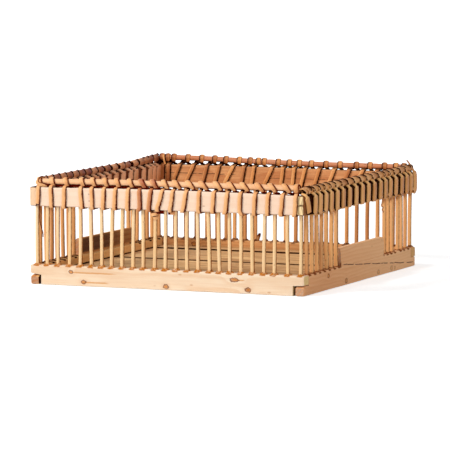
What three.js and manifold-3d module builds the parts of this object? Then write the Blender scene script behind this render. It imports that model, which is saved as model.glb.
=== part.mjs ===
// Napkin basket: four pine rails lapped into a square frame, a plank floor, round cane spindles,
// four flat top bands and a cane rim rod lashed over each band with flat cane lacing.
// Millimetres. Origin at the middle of the underside, +X to the right along the front,
// +Y from the front to the back, +Z up.
import * as THREE from 'three';
import { mergeVertices } from 'three/addons/utils/BufferGeometryUtils.js';
import Module from 'manifold-3d';

const wasm = await Module();
wasm.setup();

// Outer plan of the frame.
const BASKET_WIDTH = 200;
const BASKET_DEPTH = 200;

// Clearance left between neighbouring pieces.
const FIT_GAP = 0.3;

// How far a cutter runs past a face, and a joined solid into its neighbour.
const OVERRUN = 1;

// Bottom rails, half-lapped at the corners.
const RAIL_HEIGHT = 13.2;
const RAIL_THICKNESS = 8;
const LAP_JOINT_HEIGHT = 6.3;

// Raised hand board in the middle of each side rail.
const HAND_BOARD_LENGTH = 78;
const HAND_BOARD_OFFSET = 2.4;
const HAND_BOARD_RISE = 12.5;
const HAND_BOARD_FOOT = 4;
const HAND_BOARD_CREST = 2;
const HAND_BOARD_STRAIGHT = 7;

// Floor planks with tongues in the grooves of the side rails.
const FLOOR_TOP = 7.2;
const PLANK_THICKNESS = 4.5;
const FIRST_PLANK_WIDTH = 41.2;
const PLANK_WIDTH = 64;
const NARROWEST_PLANK = 8;
const PLANK_END_GAP = 1.2;
const TONGUE_THICKNESS = 2;
const GROOVE_DEPTH = 2;

// Top bands, carried by the spindles.
const WINDOW_HEIGHT = 39.7;
const BAND_HEIGHT = 12.8;
const BAND_THICKNESS = 5.2;

// Spindles and the blind sockets they stand in.
const SPINDLE_DIAMETER = 2.8;
const SPINDLE_SIDES = 8;
const WIDEST_SPINDLE_PITCH = 8.4;
const CORNER_SPINDLE_SHIFT = 0.4;
const RAIL_SOCKET_DEPTH = 5;
const BAND_SOCKET_DEPTH = 6;

// Side spindles, in a group on each side of the hand board.
const FRONT_CORNER_SPACE = 8.2;
const BACK_CORNER_SPACE = 10.3;
const SPACE_BEFORE_BOARD = 1;
const SPACE_AFTER_BOARD = 5.2;

// How far each hand-drilled spindle stands from its even place, counted from the left or the
// front. The first and the last of a row stand in their even place.
const FRONT_SPINDLE_DRIFT = [
  0, 0.8, 0.7, 1, 0.3, 1.2, 0.4, -0.2, -0.5, -0.4, -0.7, -0.9, -0.7,
  -1.2, -1.3, -1.1, -1.3, -1.5, -2.6, -2.5, -2.3, -2.1, -2.8, -1, 0,
];
const SIDE_FRONT_DRIFT = [0, 0.1, 0.2, 0.1, 0.1, 0.6, 0];
const SIDE_BACK_DRIFT = [0, -0.9, -1.5, 1.3, -0.2, 0];

// Rim rods above the bands.
const ROD_DIAMETER = 4;
const ROD_SIDES = 12;
const ROD_LIFT = 2.5;
const ROD_END_INSET = 2.5;

// Flat cane strand that ties each rod to its band in figures of eight.
const LACE_WIDTH = 3;
const LACE_THICKNESS = 1;
const SIDE_FIRST_TURN = 1.2;
const OPEN_SPAN_FIRST_TURN = 6.3;
const OPEN_SPAN_PITCH = 11.8;

// Share of its sideways stride that the strand has made at each corner over the rod.
const OVER_ROD_DRIFT = [0.25, 0.5, 0.65];

// Spindle gaps that the strand leaves out, and its sideways lean up the outer face of each band.
const FRONT_SKIPPED_GAPS = [3, 13, 18];
const FRONT_TURN_LEAN = [
  -1.6, -0.5, 1.3, -2.2, -1.7, -0.4, 0.2, 1, 2.4, 1.4, 0.2,
  1, -3, -2.4, 0.2, 2.4, -3, -1.7, 0.1, 1.4, 1.8,
];
const SIDE_FRONT_SKIPPED_GAPS = [0];
const SIDE_FRONT_TURN_LEAN = [-2.9, -1.4, -2.2, -2.4, -1];
const SIDE_BACK_SKIPPED_GAPS = [2];
const SIDE_BACK_TURN_LEAN = [-2.9, 1.4, -2.6, -1.6];

// Heights and places that follow from the sizes above.
const HALF_WIDTH = BASKET_WIDTH / 2;
const HALF_DEPTH = BASKET_DEPTH / 2;
const BAND_BOTTOM = RAIL_HEIGHT + WINDOW_HEIGHT;
const BAND_TOP = BAND_BOTTOM + BAND_HEIGHT;
const SPINDLE_INSET = BAND_THICKNESS / 2;
const SPINDLE_RADIUS = SPINDLE_DIAMETER / 2;
const SPINDLE_FOOT = RAIL_HEIGHT - RAIL_SOCKET_DEPTH + FIT_GAP;
const SPINDLE_HEAD = BAND_BOTTOM + BAND_SOCKET_DEPTH - FIT_GAP;
const ROD_RADIUS = ROD_DIAMETER / 2;
const ROD_CENTRE_HEIGHT = BAND_TOP + ROD_LIFT + ROD_RADIUS;
const LACED_ROD_RADIUS = ROD_RADIUS + FIT_GAP + LACE_THICKNESS;
const LACED_BAND_REACH = BAND_THICKNESS / 2 + FIT_GAP + LACE_THICKNESS;
const CROSS_TURN_LIMIT = HALF_WIDTH - BAND_THICKNESS - FIT_GAP - LACE_WIDTH / 2;
const SIDE_TURN_LIMIT = HALF_DEPTH - SPINDLE_INSET - LACED_BAND_REACH - FIT_GAP - LACE_WIDTH / 2;
const BOARD_START = HAND_BOARD_OFFSET - HAND_BOARD_LENGTH / 2;
const BOARD_END = HAND_BOARD_OFFSET + HAND_BOARD_LENGTH / 2;

// Finishes.
const FRONT_PINE = { color: 0xe9cda6, roughness: 0.72, metalness: 0 };
const SIDE_PINE = { color: 0xc0946a, roughness: 0.75, metalness: 0 };
const FLOOR_WOOD = { color: 0xb08c6c, roughness: 0.85, metalness: 0 };
const BAND_PINE = { color: 0xe2c3a2, roughness: 0.7, metalness: 0 };
const DARK_BAND_PINE = { color: 0xb07c50, roughness: 0.7, metalness: 0 };
const SPINDLE_CANE = { color: 0xdfb98a, roughness: 0.6, metalness: 0 };
const ROD_CANE = { color: 0xc9925c, roughness: 0.55, metalness: 0 };
const LACE_CANE = { color: 0xd9a066, roughness: 0.5, metalness: 0 };

// Solids: a three.js shape becomes a solid that can be joined and cut, and back again.
function solidFrom(geometry) {
  const bare = geometry.clone();
  bare.deleteAttribute('normal');
  bare.deleteAttribute('uv');
  const merged = mergeVertices(bare, 1e-4);
  return new wasm.Manifold(new wasm.Mesh({
    numProp: 3,
    vertProperties: new Float32Array(merged.attributes.position.array),
    triVerts: new Uint32Array(merged.index.array),
  }));
}

function geometryFrom(solid) {
  const mesh = solid.getMesh();
  const geometry = new THREE.BufferGeometry();
  geometry.setAttribute('position', new THREE.BufferAttribute(mesh.vertProperties, 3));
  geometry.setIndex(new THREE.BufferAttribute(mesh.triVerts, 1));
  geometry.computeVertexNormals();
  return geometry;
}

// A box between two opposite corners.
function boxBetween(low, high) {
  const size = high.map((value, axis) => value - low[axis]);
  const middle = high.map((value, axis) => (value + low[axis]) / 2);
  return new THREE.BoxGeometry(...size).translate(...middle);
}

// An upright round bar of few sides, standing at a place from one height to another.
function uprightBar(radius, place, bottom, top) {
  return new THREE.CylinderGeometry(radius, radius, top - bottom, SPINDLE_SIDES)
    .rotateX(Math.PI / 2)
    .translate(place.x, place.y, (top + bottom) / 2);
}

// Places evenly spread from first to last, as few as the widest pitch allows. Each one between
// the two ends is moved by its own drift.
function spread(first, last, drift) {
  const intervals = Math.ceil((last - first) / WIDEST_SPINDLE_PITCH);
  const step = (last - first) / intervals;
  const between = Array.from({ length: intervals - 1 }, (_, i) => i + 1)
    .map((i) => first + i * step + (drift[i] ?? 0));
  return [first, ...between, last];
}

// The two spindle groups of a side, in front of and behind the hand board.
const sideFrontSpindles = spread(
  -HALF_DEPTH + SPINDLE_INSET + FRONT_CORNER_SPACE,
  BOARD_START - SPACE_BEFORE_BOARD - SPINDLE_RADIUS,
  SIDE_FRONT_DRIFT,
);
const sideBackSpindles = spread(
  BOARD_END + SPACE_AFTER_BOARD + SPINDLE_RADIUS,
  HALF_DEPTH - SPINDLE_INSET - BACK_CORNER_SPACE,
  SIDE_BACK_DRIFT,
);
const sideSpindles = [...sideFrontSpindles, ...sideBackSpindles];

// The spindles across the front and the back; the outermost two stand under the side bands.
const frontSpindles = spread(
  -HALF_WIDTH + SPINDLE_INSET + CORNER_SPINDLE_SHIFT,
  HALF_WIDTH - SPINDLE_INSET - CORNER_SPINDLE_SHIFT,
  FRONT_SPINDLE_DRIFT,
);

// The four sides. "along" is a place along the side and "out" a distance from its spindle line
// towards the outside.
const frontSide = {
  at: (along, out, up) => new THREE.Vector3(along, -HALF_DEPTH + SPINDLE_INSET - out, up),
  widthAxis: new THREE.Vector3(1, 0, 0),
};
const backSide = {
  at: (along, out, up) => new THREE.Vector3(along, HALF_DEPTH - SPINDLE_INSET + out, up),
  widthAxis: new THREE.Vector3(1, 0, 0),
};
const leftSide = {
  at: (along, out, up) => new THREE.Vector3(-HALF_WIDTH + SPINDLE_INSET - out, along, up),
  widthAxis: new THREE.Vector3(0, 1, 0),
};
const rightSide = {
  at: (along, out, up) => new THREE.Vector3(HALF_WIDTH - SPINDLE_INSET + out, along, up),
  widthAxis: new THREE.Vector3(0, 1, 0),
};

// Blind sockets for the spindles, a clearance wider than the spindle all round.
function cutSockets(solid, side, places, bottom, top) {
  return places.reduce((cut, along) => {
    const place = side.at(along, 0, 0);
    return cut.subtract(solidFrom(uprightBar(SPINDLE_RADIUS + FIT_GAP, place, bottom, top)));
  }, solid);
}

function cutRailSockets(solid, side, places) {
  return cutSockets(solid, side, places, RAIL_HEIGHT - RAIL_SOCKET_DEPTH, RAIL_HEIGHT + OVERRUN);
}

function cutBandSockets(solid, side, places) {
  return cutSockets(solid, side, places, BAND_BOTTOM - OVERRUN, BAND_BOTTOM + BAND_SOCKET_DEPTH);
}

// Front or back rail: the upper half runs to the corners, over the tongues of the side rails.
function crossRail(side) {
  const outer = side.at(0, SPINDLE_INSET, 0).y;
  const inner = side.at(0, SPINDLE_INSET - RAIL_THICKNESS, 0).y;
  const [front, back] = [Math.min(outer, inner), Math.max(outer, inner)];
  const lapStart = HALF_WIDTH - RAIL_THICKNESS - FIT_GAP;
  const body = solidFrom(boxBetween([-HALF_WIDTH, front, 0], [HALF_WIDTH, back, RAIL_HEIGHT]));
  const lapEnd = HALF_WIDTH + OVERRUN;
  const lapTop = LAP_JOINT_HEIGHT + FIT_GAP / 2;
  const laps = [[-lapEnd, -lapStart], [lapStart, lapEnd]].map(([left, right]) => (
    boxBetween([left, front - OVERRUN, -OVERRUN], [right, back + OVERRUN, lapTop])
  ));
  const lapped = laps.reduce((rail, lap) => rail.subtract(solidFrom(lap)), body);
  return geometryFrom(cutRailSockets(lapped, side, frontSpindles));
}

// Raised hand board: flat inside, its outer face curving in towards a thinner crest.
function handBoard(hand) {
  const outline = new THREE.Shape();
  outline.moveTo(HALF_WIDTH - HAND_BOARD_FOOT, RAIL_HEIGHT - OVERRUN);
  outline.lineTo(HALF_WIDTH, RAIL_HEIGHT - OVERRUN);
  outline.lineTo(HALF_WIDTH, RAIL_HEIGHT + HAND_BOARD_STRAIGHT);
  outline.quadraticCurveTo(
    HALF_WIDTH,
    RAIL_HEIGHT + HAND_BOARD_RISE,
    HALF_WIDTH - HAND_BOARD_FOOT + HAND_BOARD_CREST,
    RAIL_HEIGHT + HAND_BOARD_RISE,
  );
  outline.lineTo(HALF_WIDTH - HAND_BOARD_FOOT, RAIL_HEIGHT + HAND_BOARD_RISE);
  const board = new THREE.ExtrudeGeometry(outline, {
    depth: HAND_BOARD_LENGTH,
    curveSegments: 5,
    bevelEnabled: false,
  }).rotateX(Math.PI / 2).translate(0, BOARD_END, 0);
  return hand > 0 ? board : board.rotateZ(Math.PI).translate(0, BOARD_START + BOARD_END, 0);
}

// Left or right rail with its hand board: tongues under the cross rails, a groove for the floor.
function sideRail(side, hand) {
  const outer = hand * HALF_WIDTH;
  const inner = hand * (HALF_WIDTH - RAIL_THICKNESS);
  const [left, right] = [Math.min(outer, inner), Math.max(outer, inner)];
  const shoulder = HALF_DEPTH - RAIL_THICKNESS - FIT_GAP;
  const tongueTop = LAP_JOINT_HEIGHT - FIT_GAP / 2;
  const tongue = solidFrom(boxBetween([left, -HALF_DEPTH, 0], [right, HALF_DEPTH, tongueTop]));
  const upper = solidFrom(boxBetween([left, -shoulder, 0], [right, shoulder, RAIL_HEIGHT]));
  const grooveEnd = hand * (HALF_WIDTH - RAIL_THICKNESS + GROOVE_DEPTH);
  const grooveMouth = inner - hand * OVERRUN;
  const plankBottom = FLOOR_TOP - PLANK_THICKNESS;
  const groove = solidFrom(boxBetween(
    [Math.min(grooveEnd, grooveMouth), -shoulder, plankBottom - FIT_GAP],
    [Math.max(grooveEnd, grooveMouth), shoulder, plankBottom + TONGUE_THICKNESS + FIT_GAP],
  ));
  const rail = tongue.add(upper).add(solidFrom(handBoard(hand))).subtract(groove);
  return geometryFrom(cutRailSockets(rail, side, sideSpindles));
}

// One floor plank from one seam to the next, thinned to a tongue at each end.
function floorPlank(front, back) {
  const bottom = FLOOR_TOP - PLANK_THICKNESS;
  const shelf = bottom + TONGUE_THICKNESS;
  const bodyEnd = HALF_WIDTH - RAIL_THICKNESS - PLANK_END_GAP;
  const tongueEnd = HALF_WIDTH - RAIL_THICKNESS + GROOVE_DEPTH - FIT_GAP;
  const profile = new THREE.Shape([
    new THREE.Vector2(-tongueEnd, bottom),
    new THREE.Vector2(tongueEnd, bottom),
    new THREE.Vector2(tongueEnd, shelf),
    new THREE.Vector2(bodyEnd, shelf),
    new THREE.Vector2(bodyEnd, FLOOR_TOP),
    new THREE.Vector2(-bodyEnd, FLOOR_TOP),
    new THREE.Vector2(-bodyEnd, shelf),
    new THREE.Vector2(-tongueEnd, shelf),
  ]);
  return new THREE.ExtrudeGeometry(profile, { depth: back - front, bevelEnabled: false })
    .rotateX(Math.PI / 2)
    .translate(0, back, 0);
}

// Front and back edge of every plank, from the front rail to the back rail.
function plankSpans() {
  const end = HALF_DEPTH - RAIL_THICKNESS - FIT_GAP;
  const spans = [];
  let front = -end;
  let back = front + FIRST_PLANK_WIDTH;
  while (back < end - NARROWEST_PLANK) {
    spans.push([front, back]);
    front = back + FIT_GAP;
    back = front + PLANK_WIDTH;
  }
  spans.push([front, end]);
  return spans;
}

// Front or back band, fitted between the side bands.
function crossBandBody(side) {
  const outer = side.at(0, BAND_THICKNESS / 2, 0).y;
  const inner = side.at(0, -BAND_THICKNESS / 2, 0).y;
  const end = HALF_WIDTH - BAND_THICKNESS - FIT_GAP;
  return solidFrom(boxBetween(
    [-end, Math.min(outer, inner), BAND_BOTTOM],
    [end, Math.max(outer, inner), BAND_TOP],
  ));
}

// Left or right band, as long as the basket is deep.
function sideBandBody(side) {
  const outer = side.at(0, BAND_THICKNESS / 2, 0).x;
  const inner = side.at(0, -BAND_THICKNESS / 2, 0).x;
  return solidFrom(boxBetween(
    [Math.min(outer, inner), -HALF_DEPTH, BAND_BOTTOM],
    [Math.max(outer, inner), HALF_DEPTH, BAND_TOP],
  ));
}

function spindle(side, along) {
  return uprightBar(SPINDLE_RADIUS, side.at(along, 0, 0), SPINDLE_FOOT, SPINDLE_HEAD);
}

// A band made as one comb with the spindles under it.
function joinSpindles(band, side, places) {
  return places.reduce((comb, along) => comb.add(solidFrom(spindle(side, along))), band);
}

// The outermost spindles of the front and the back stand under the ends of the side bands.
const leftCorner = frontSpindles.slice(0, 1);
const rightCorner = frontSpindles.slice(-1);
const innerSpindles = frontSpindles.slice(1, -1);

function frontBand() {
  return geometryFrom(cutBandSockets(crossBandBody(frontSide), frontSide, innerSpindles));
}

function backBand() {
  return geometryFrom(joinSpindles(crossBandBody(backSide), backSide, innerSpindles));
}

function rightBand() {
  const forFront = cutBandSockets(sideBandBody(rightSide), frontSide, rightCorner);
  const forCorners = cutBandSockets(forFront, backSide, rightCorner);
  return geometryFrom(cutBandSockets(forCorners, rightSide, sideSpindles));
}

function leftBand() {
  const forFront = cutBandSockets(sideBandBody(leftSide), frontSide, leftCorner);
  const withCorner = joinSpindles(forFront, backSide, leftCorner);
  return geometryFrom(joinSpindles(withCorner, leftSide, sideSpindles));
}

// Round cane rod over a band.
function rimRod(side, halfLength) {
  const rod = new THREE.CylinderGeometry(ROD_RADIUS, ROD_RADIUS, 2 * halfLength, ROD_SIDES);
  const turned = side.widthAxis.x === 1 ? rod.rotateZ(Math.PI / 2) : rod;
  const middle = side.at(0, 0, ROD_CENTRE_HEIGHT);
  return turned.translate(middle.x, middle.y, middle.z);
}

// Path of a flat strand with sharp folds. Its width stays along the side of the basket, and its
// thickness is mitred at each fold.
class StrandPath extends THREE.Curve {
  constructor(points, widthAxis) {
    super();
    this.points = points;
    this.widthAxis = widthAxis;
  }

  getPoint(t, target = new THREE.Vector3()) {
    const place = t * (this.points.length - 1);
    const index = Math.min(Math.floor(place), this.points.length - 2);
    return target.lerpVectors(this.points[index], this.points[index + 1], place - index);
  }

  getSpacedPoints() {
    return this.points;
  }

  computeFrenetFrames() {
    const headings = this.points.slice(1).map((point, i) => point.clone()
      .sub(this.points[i])
      .projectOnPlane(this.widthAxis)
      .normalize());
    const tangents = this.points.map((_, i) => {
      const before = headings[Math.max(i - 1, 0)];
      const after = headings[Math.min(i, headings.length - 1)];
      return before.clone().add(after).normalize();
    });
    const binormals = tangents.map((tangent, i) => {
      const mitre = 1 / tangent.dot(headings[Math.min(i, headings.length - 1)]);
      return tangent.clone().cross(this.widthAxis).multiplyScalar(mitre);
    });
    return { tangents, normals: this.points.map(() => this.widthAxis), binormals };
  }
}

// The places where a strand turns: "under" is where it passes under the band, midway between two
// spindles and clear of the corner, and "face" is where it climbs the outer face. A gap that the
// strand doesn't fit takes no turn.
function turnsBetween(spindles, skippedGaps, leans, limit) {
  const narrowest = SPINDLE_DIAMETER + LACE_WIDTH + FIT_GAP;
  return spindles.slice(1)
    .map((place, gap) => ({ middle: (place + spindles[gap]) / 2, pitch: place - spindles[gap], gap }))
    .filter(({ pitch, gap }) => pitch > narrowest && !skippedGaps.includes(gap))
    .map(({ middle }, turn) => ({
      under: THREE.MathUtils.clamp(middle, -limit, limit),
      face: middle + (leans[turn] ?? 0),
    }));
}

// Turns over the open span between the two spindle groups of a side.
function openSpanTurns(start, end) {
  const free = end - start - OPEN_SPAN_FIRST_TURN - LACE_WIDTH;
  const count = Math.floor(free / OPEN_SPAN_PITCH) + 1;
  return Array.from({ length: count }, (_, i) => {
    const place = start + OPEN_SPAN_FIRST_TURN + i * OPEN_SPAN_PITCH;
    return { under: place, face: place };
  });
}

const singleTurn = (place) => ({ under: place, face: place });
const frontTurns = turnsBetween(
  frontSpindles,
  FRONT_SKIPPED_GAPS,
  FRONT_TURN_LEAN,
  CROSS_TURN_LIMIT,
);
const sideFrontTurns = turnsBetween(
  sideFrontSpindles,
  SIDE_FRONT_SKIPPED_GAPS,
  SIDE_FRONT_TURN_LEAN,
  SIDE_TURN_LIMIT,
);
const sideBackTurns = turnsBetween(
  sideBackSpindles,
  SIDE_BACK_SKIPPED_GAPS,
  SIDE_BACK_TURN_LEAN,
  SIDE_TURN_LIMIT,
);
const sideTurns = [
  singleTurn(-SIDE_TURN_LIMIT + SIDE_FIRST_TURN),
  ...sideFrontTurns,
  ...openSpanTurns(sideFrontSpindles.at(-1), sideBackSpindles[0]),
  ...sideBackTurns,
  singleTurn(SIDE_TURN_LIMIT),
];

// Figure-of-eight lacing along a side: up the outer face, through the gap and behind the rod,
// over it, back through the gap, down the inner face and under the band to the next turn.
function lacing(side, turns) {
  const onBand = LACED_BAND_REACH - LACE_THICKNESS / 2;
  const onRod = LACED_ROD_RADIUS - LACE_THICKNESS / 2;
  const besideSpindle = SPINDLE_RADIUS + FIT_GAP;
  const under = BAND_BOTTOM - FIT_GAP - LACE_THICKNESS / 2;
  const gap = BAND_TOP + ROD_LIFT / 2;
  const shoulder = onRod * (Math.SQRT2 - 1);
  const points = [];
  const add = (along, out, up) => points.push(side.at(along, out, up));
  turns.forEach((turn, i) => {
    const foot = (turn.under + turn.face) / 2;
    const next = turns[i + 1];
    if (i > 0) {
      add(turn.under, -onBand, under);
      add(turn.under, -besideSpindle, under);
      add(turn.under, besideSpindle, under);
    }
    add(foot, onBand, under);
    add(turn.face, onBand, gap);
    add(turn.face, -onRod, gap);
    const stride = next ? (next.face - turn.face) / 2 : 0;
    add(turn.face, -onRod, ROD_CENTRE_HEIGHT + shoulder);
    add(turn.face + stride * OVER_ROD_DRIFT[0], -shoulder, ROD_CENTRE_HEIGHT + onRod);
    add(turn.face + stride * OVER_ROD_DRIFT[1], shoulder, ROD_CENTRE_HEIGHT + onRod);
    add(turn.face + stride * OVER_ROD_DRIFT[2], onRod, ROD_CENTRE_HEIGHT + shoulder);
    if (next) {
      add(turn.face + stride, onRod, gap);
      add(turn.face + stride, -onBand, gap);
    } else {
      add(turn.face, onRod, ROD_CENTRE_HEIGHT - shoulder);
    }
  });
  const section = new THREE.Shape([
    new THREE.Vector2(-LACE_WIDTH / 2, -LACE_THICKNESS / 2),
    new THREE.Vector2(LACE_WIDTH / 2, -LACE_THICKNESS / 2),
    new THREE.Vector2(LACE_WIDTH / 2, LACE_THICKNESS / 2),
    new THREE.Vector2(-LACE_WIDTH / 2, LACE_THICKNESS / 2),
  ]);
  return new THREE.ExtrudeGeometry(section, {
    steps: points.length - 1,
    extrudePath: new StrandPath(points, side.widthAxis),
    bevelEnabled: false,
  });
}

const basket = new THREE.Group();

function addPiece(name, geometry, finish) {
  const mesh = new THREE.Mesh(geometry, new THREE.MeshStandardMaterial(finish));
  mesh.name = name;
  basket.add(mesh);
}

const numbered = (stem, index) => `${stem}_${String(index + 1).padStart(2, '0')}`;

addPiece('front_bottom_rail', crossRail(frontSide), FRONT_PINE);
addPiece('back_bottom_rail', crossRail(backSide), SIDE_PINE);
addPiece('left_bottom_rail', sideRail(leftSide, -1), SIDE_PINE);
addPiece('right_bottom_rail', sideRail(rightSide, 1), SIDE_PINE);

plankSpans().forEach(([front, back], i) => {
  addPiece(numbered('floor_plank', i), floorPlank(front, back), FLOOR_WOOD);
});

addPiece('front_top_band', frontBand(), BAND_PINE);
addPiece('right_top_band', rightBand(), BAND_PINE);
addPiece('back_top_band', backBand(), DARK_BAND_PINE);
addPiece('left_top_band', leftBand(), DARK_BAND_PINE);

frontSpindles.forEach((along, i) => {
  addPiece(numbered('front_spindle', i), spindle(frontSide, along), SPINDLE_CANE);
});
sideSpindles.forEach((along, i) => {
  addPiece(numbered('right_spindle', i), spindle(rightSide, along), SPINDLE_CANE);
});
addPiece('back_right_corner_spindle', spindle(backSide, rightCorner[0]), SPINDLE_CANE);

// The side rods end short of the lacing round the front and back rods.
const crossRodHalf = HALF_WIDTH - ROD_END_INSET;
const sideRodHalf = HALF_DEPTH - SPINDLE_INSET - LACED_ROD_RADIUS - FIT_GAP;
addPiece('front_rim_rod', rimRod(frontSide, crossRodHalf), ROD_CANE);
addPiece('back_rim_rod', rimRod(backSide, crossRodHalf), ROD_CANE);
addPiece('left_rim_rod', rimRod(leftSide, sideRodHalf), ROD_CANE);
addPiece('right_rim_rod', rimRod(rightSide, sideRodHalf), ROD_CANE);

// The back strand runs from right to left, so its turns are taken in the opposite order.
addPiece('front_lacing', lacing(frontSide, frontTurns), LACE_CANE);
addPiece('back_lacing', lacing(backSide, frontTurns.toReversed()), LACE_CANE);
addPiece('left_lacing', lacing(leftSide, sideTurns), LACE_CANE);
addPiece('right_lacing', lacing(rightSide, sideTurns), LACE_CANE);

export default basket;
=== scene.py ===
"""Napkin basket: a lapped pine frame with a plank floor, cane spindles and laced top bands.

Lengths are in millimetres and become metres where a mesh is made. +X runs to the right along the
front, +Y from the front to the back and +Z up. The origin is the middle of the underside.
"""
import logging
import math
import random
from collections.abc import Callable, Iterable, Sequence
from dataclasses import astuple, dataclass, field, replace
from enum import Enum
from functools import cached_property, reduce

import bmesh
import bpy
from mathutils import Matrix, Vector, noise


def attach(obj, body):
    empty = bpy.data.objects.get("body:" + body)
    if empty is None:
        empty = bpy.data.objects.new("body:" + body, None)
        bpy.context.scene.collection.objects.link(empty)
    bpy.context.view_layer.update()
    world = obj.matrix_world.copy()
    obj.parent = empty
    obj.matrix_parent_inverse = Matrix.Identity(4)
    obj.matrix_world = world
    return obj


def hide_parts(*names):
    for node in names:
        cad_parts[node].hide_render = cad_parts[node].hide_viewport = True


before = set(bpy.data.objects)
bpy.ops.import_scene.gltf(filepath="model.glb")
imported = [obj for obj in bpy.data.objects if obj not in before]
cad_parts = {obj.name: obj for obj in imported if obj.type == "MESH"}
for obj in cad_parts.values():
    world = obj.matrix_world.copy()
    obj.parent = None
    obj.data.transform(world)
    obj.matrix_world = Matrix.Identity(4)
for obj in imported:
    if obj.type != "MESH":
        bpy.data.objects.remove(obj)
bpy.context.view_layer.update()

log = logging.getLogger("napkin_basket")

MM = 0.001
WHITE = (1.0, 1.0, 1.0)
# What makes the unevenness of the surfaces the same in every run.
NOISE_SEED = 7
X_WAY, Y_WAY, Z_WAY = Vector((1, 0, 0)), Vector((0, 1, 0)), Vector((0, 0, 1))

# Outer plan and heights of the frame.
HALF_WIDTH = 100.0
HALF_DEPTH = 100.0
RAIL_HEIGHT = 13.2
RAIL_THICKNESS = 8.0
LAP_HEIGHT = 6.3
FLOOR_TOP = 7.2
PLANK_BOTTOM = 2.7
BAND_BOTTOM = 52.9
BAND_TOP = 65.7
BAND_THICKNESS = 5.2
SPINDLE_LINE = 97.4
SPINDLE_RADIUS = 1.4
LACE_WIDTH = 2.9
LACE_THICKNESS = 0.8
BOARD_TOP = 25.7
LOOP_PITCH = 4.6
# How far before a corner a strand starts to bend.
BEND = 0.8
# Which side of an upright cane gets painted shade: an angle in degrees.
SHADED_SIDE = 15.0
# The sockets of a Mix node that are colours: its first and second input, and its output.
MIX_FIRST, MIX_SECOND, MIX_RESULT = 6, 7, 2

# Places of the spindles along the front, at the rail and at the band, along the back and along the sides.
FRONT_FEET = (
    -95.7, -88.3, -80.3, -71.7, -63.7, -55.3, -47.7, -40.3, -32.6, -24.5, -17.1, -8.6, -0.8,
    7.1, 15.1, 23.1, 31.4, 38.7, 46.1, 54.1, 62.4, 70.5, 78.0, 87.8, 96.8,
)
FRONT_HEADS = (
    -95.5, -87.7, -79.9, -71.0, -63.3, -55.7, -47.7, -39.4, -31.9, -23.6, -16.8, -7.8, -0.3,
    7.2, 15.3, 22.9, 30.6, 38.1, 45.8, 54.3, 62.2, 71.4, 78.6, 87.4, 97.0,
)
BACK_SPINDLES = (
    -97.0, -91.3, -84.4, -75.5, -67.0, -58.9, -50.8, -43.6, -37.0, -29.0, -21.0, -13.6, -5.9,
    2.6, 10.4, 18.0, 25.7, 33.5, 41.4, 49.3, 56.9, 65.1, 72.6, 84.5, 97.0,
)
SIDE_SPINDLES = (
    -89.2, -80.7, -72.3, -64.0, -55.6, -46.8, -39.0, 48.0, 54.9, 62.1, 72.8, 79.1, 87.1,
)


class Reading(Enum):
    """What a finish reads from each point of a piece."""

    GRAIN = "grain"
    TONE = "tone"
    STAIN = "stain"
    WEAR = "wear"


class Axis(Enum):
    """The way a straight piece and its grain run."""

    X = 0
    Y = 1
    Z = 2


class Slot(Enum):
    """Material slots of the record."""

    FRONT_PINE = "front_pine"
    SIDE_PINE = "side_pine"
    FLOOR_WOOD = "floor_wood"
    BAND_PINE = "band_pine"
    DARK_BAND_PINE = "dark_band_pine"
    SPINDLE_CANE = "spindle_cane"
    ROD_CANE = "rod_cane"
    LACE_CANE = "lace_cane"


Colour = tuple[float, ...]


def colour(*parts: int) -> Colour:
    """Display values from 0 to 255 as the linear ones that a shader takes."""
    shares = [part / 255 for part in parts]
    return tuple(share / 12.92 if share <= 0.04045 else ((share + 0.055) / 1.055) ** 2.4 for share in shares)


def smooth(low: float, high: float, value: float) -> float:
    """A soft step from 0 at low to 1 at high."""
    share = clamp((value - low) / (high - low), 0.0, 1.0)
    return share * share * (3 - 2 * share)


def clamp(value: float, low: float, high: float) -> float:
    """A value kept from low to high."""
    return min(high, max(low, value))


def between(first: float, last: float, share: float) -> float:
    """The value at a share of the way from first to last."""
    return first + (last - first) * share


def bell(offset: float, width: float) -> float:
    """A bump that is 1 in the middle and fades over its width."""
    return math.exp(-((offset / width) ** 2))


def spread(first: float, last: float, pitch: float) -> list[float]:
    """Even places from first to last, about a pitch apart."""
    count = round((last - first) / pitch)
    return [first + (last - first) * k / count for k in range(count + 1)]


def waver(place: Vector, pitch: float, seed: float) -> Vector:
    """Slow unevenness of a surface that was cut by hand, with waves about a pitch apart."""
    return noise.noise_vector(place / pitch + Vector((seed, seed * 0.37, -seed)))


@dataclass
class Point:
    """A point of a skin: its place, how far it lies along, across and up the wood, and its readings.

    Its tone is dark below nought and light above. Its stain and its wear go from 0 to 1. Tone and stain
    carry painted light and shade as well as the wood's own colour and stains.
    """

    place: Vector
    grain: Vector
    tone: float = 0.0
    stain: float = 0.0
    wear: float = 0.0


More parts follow.
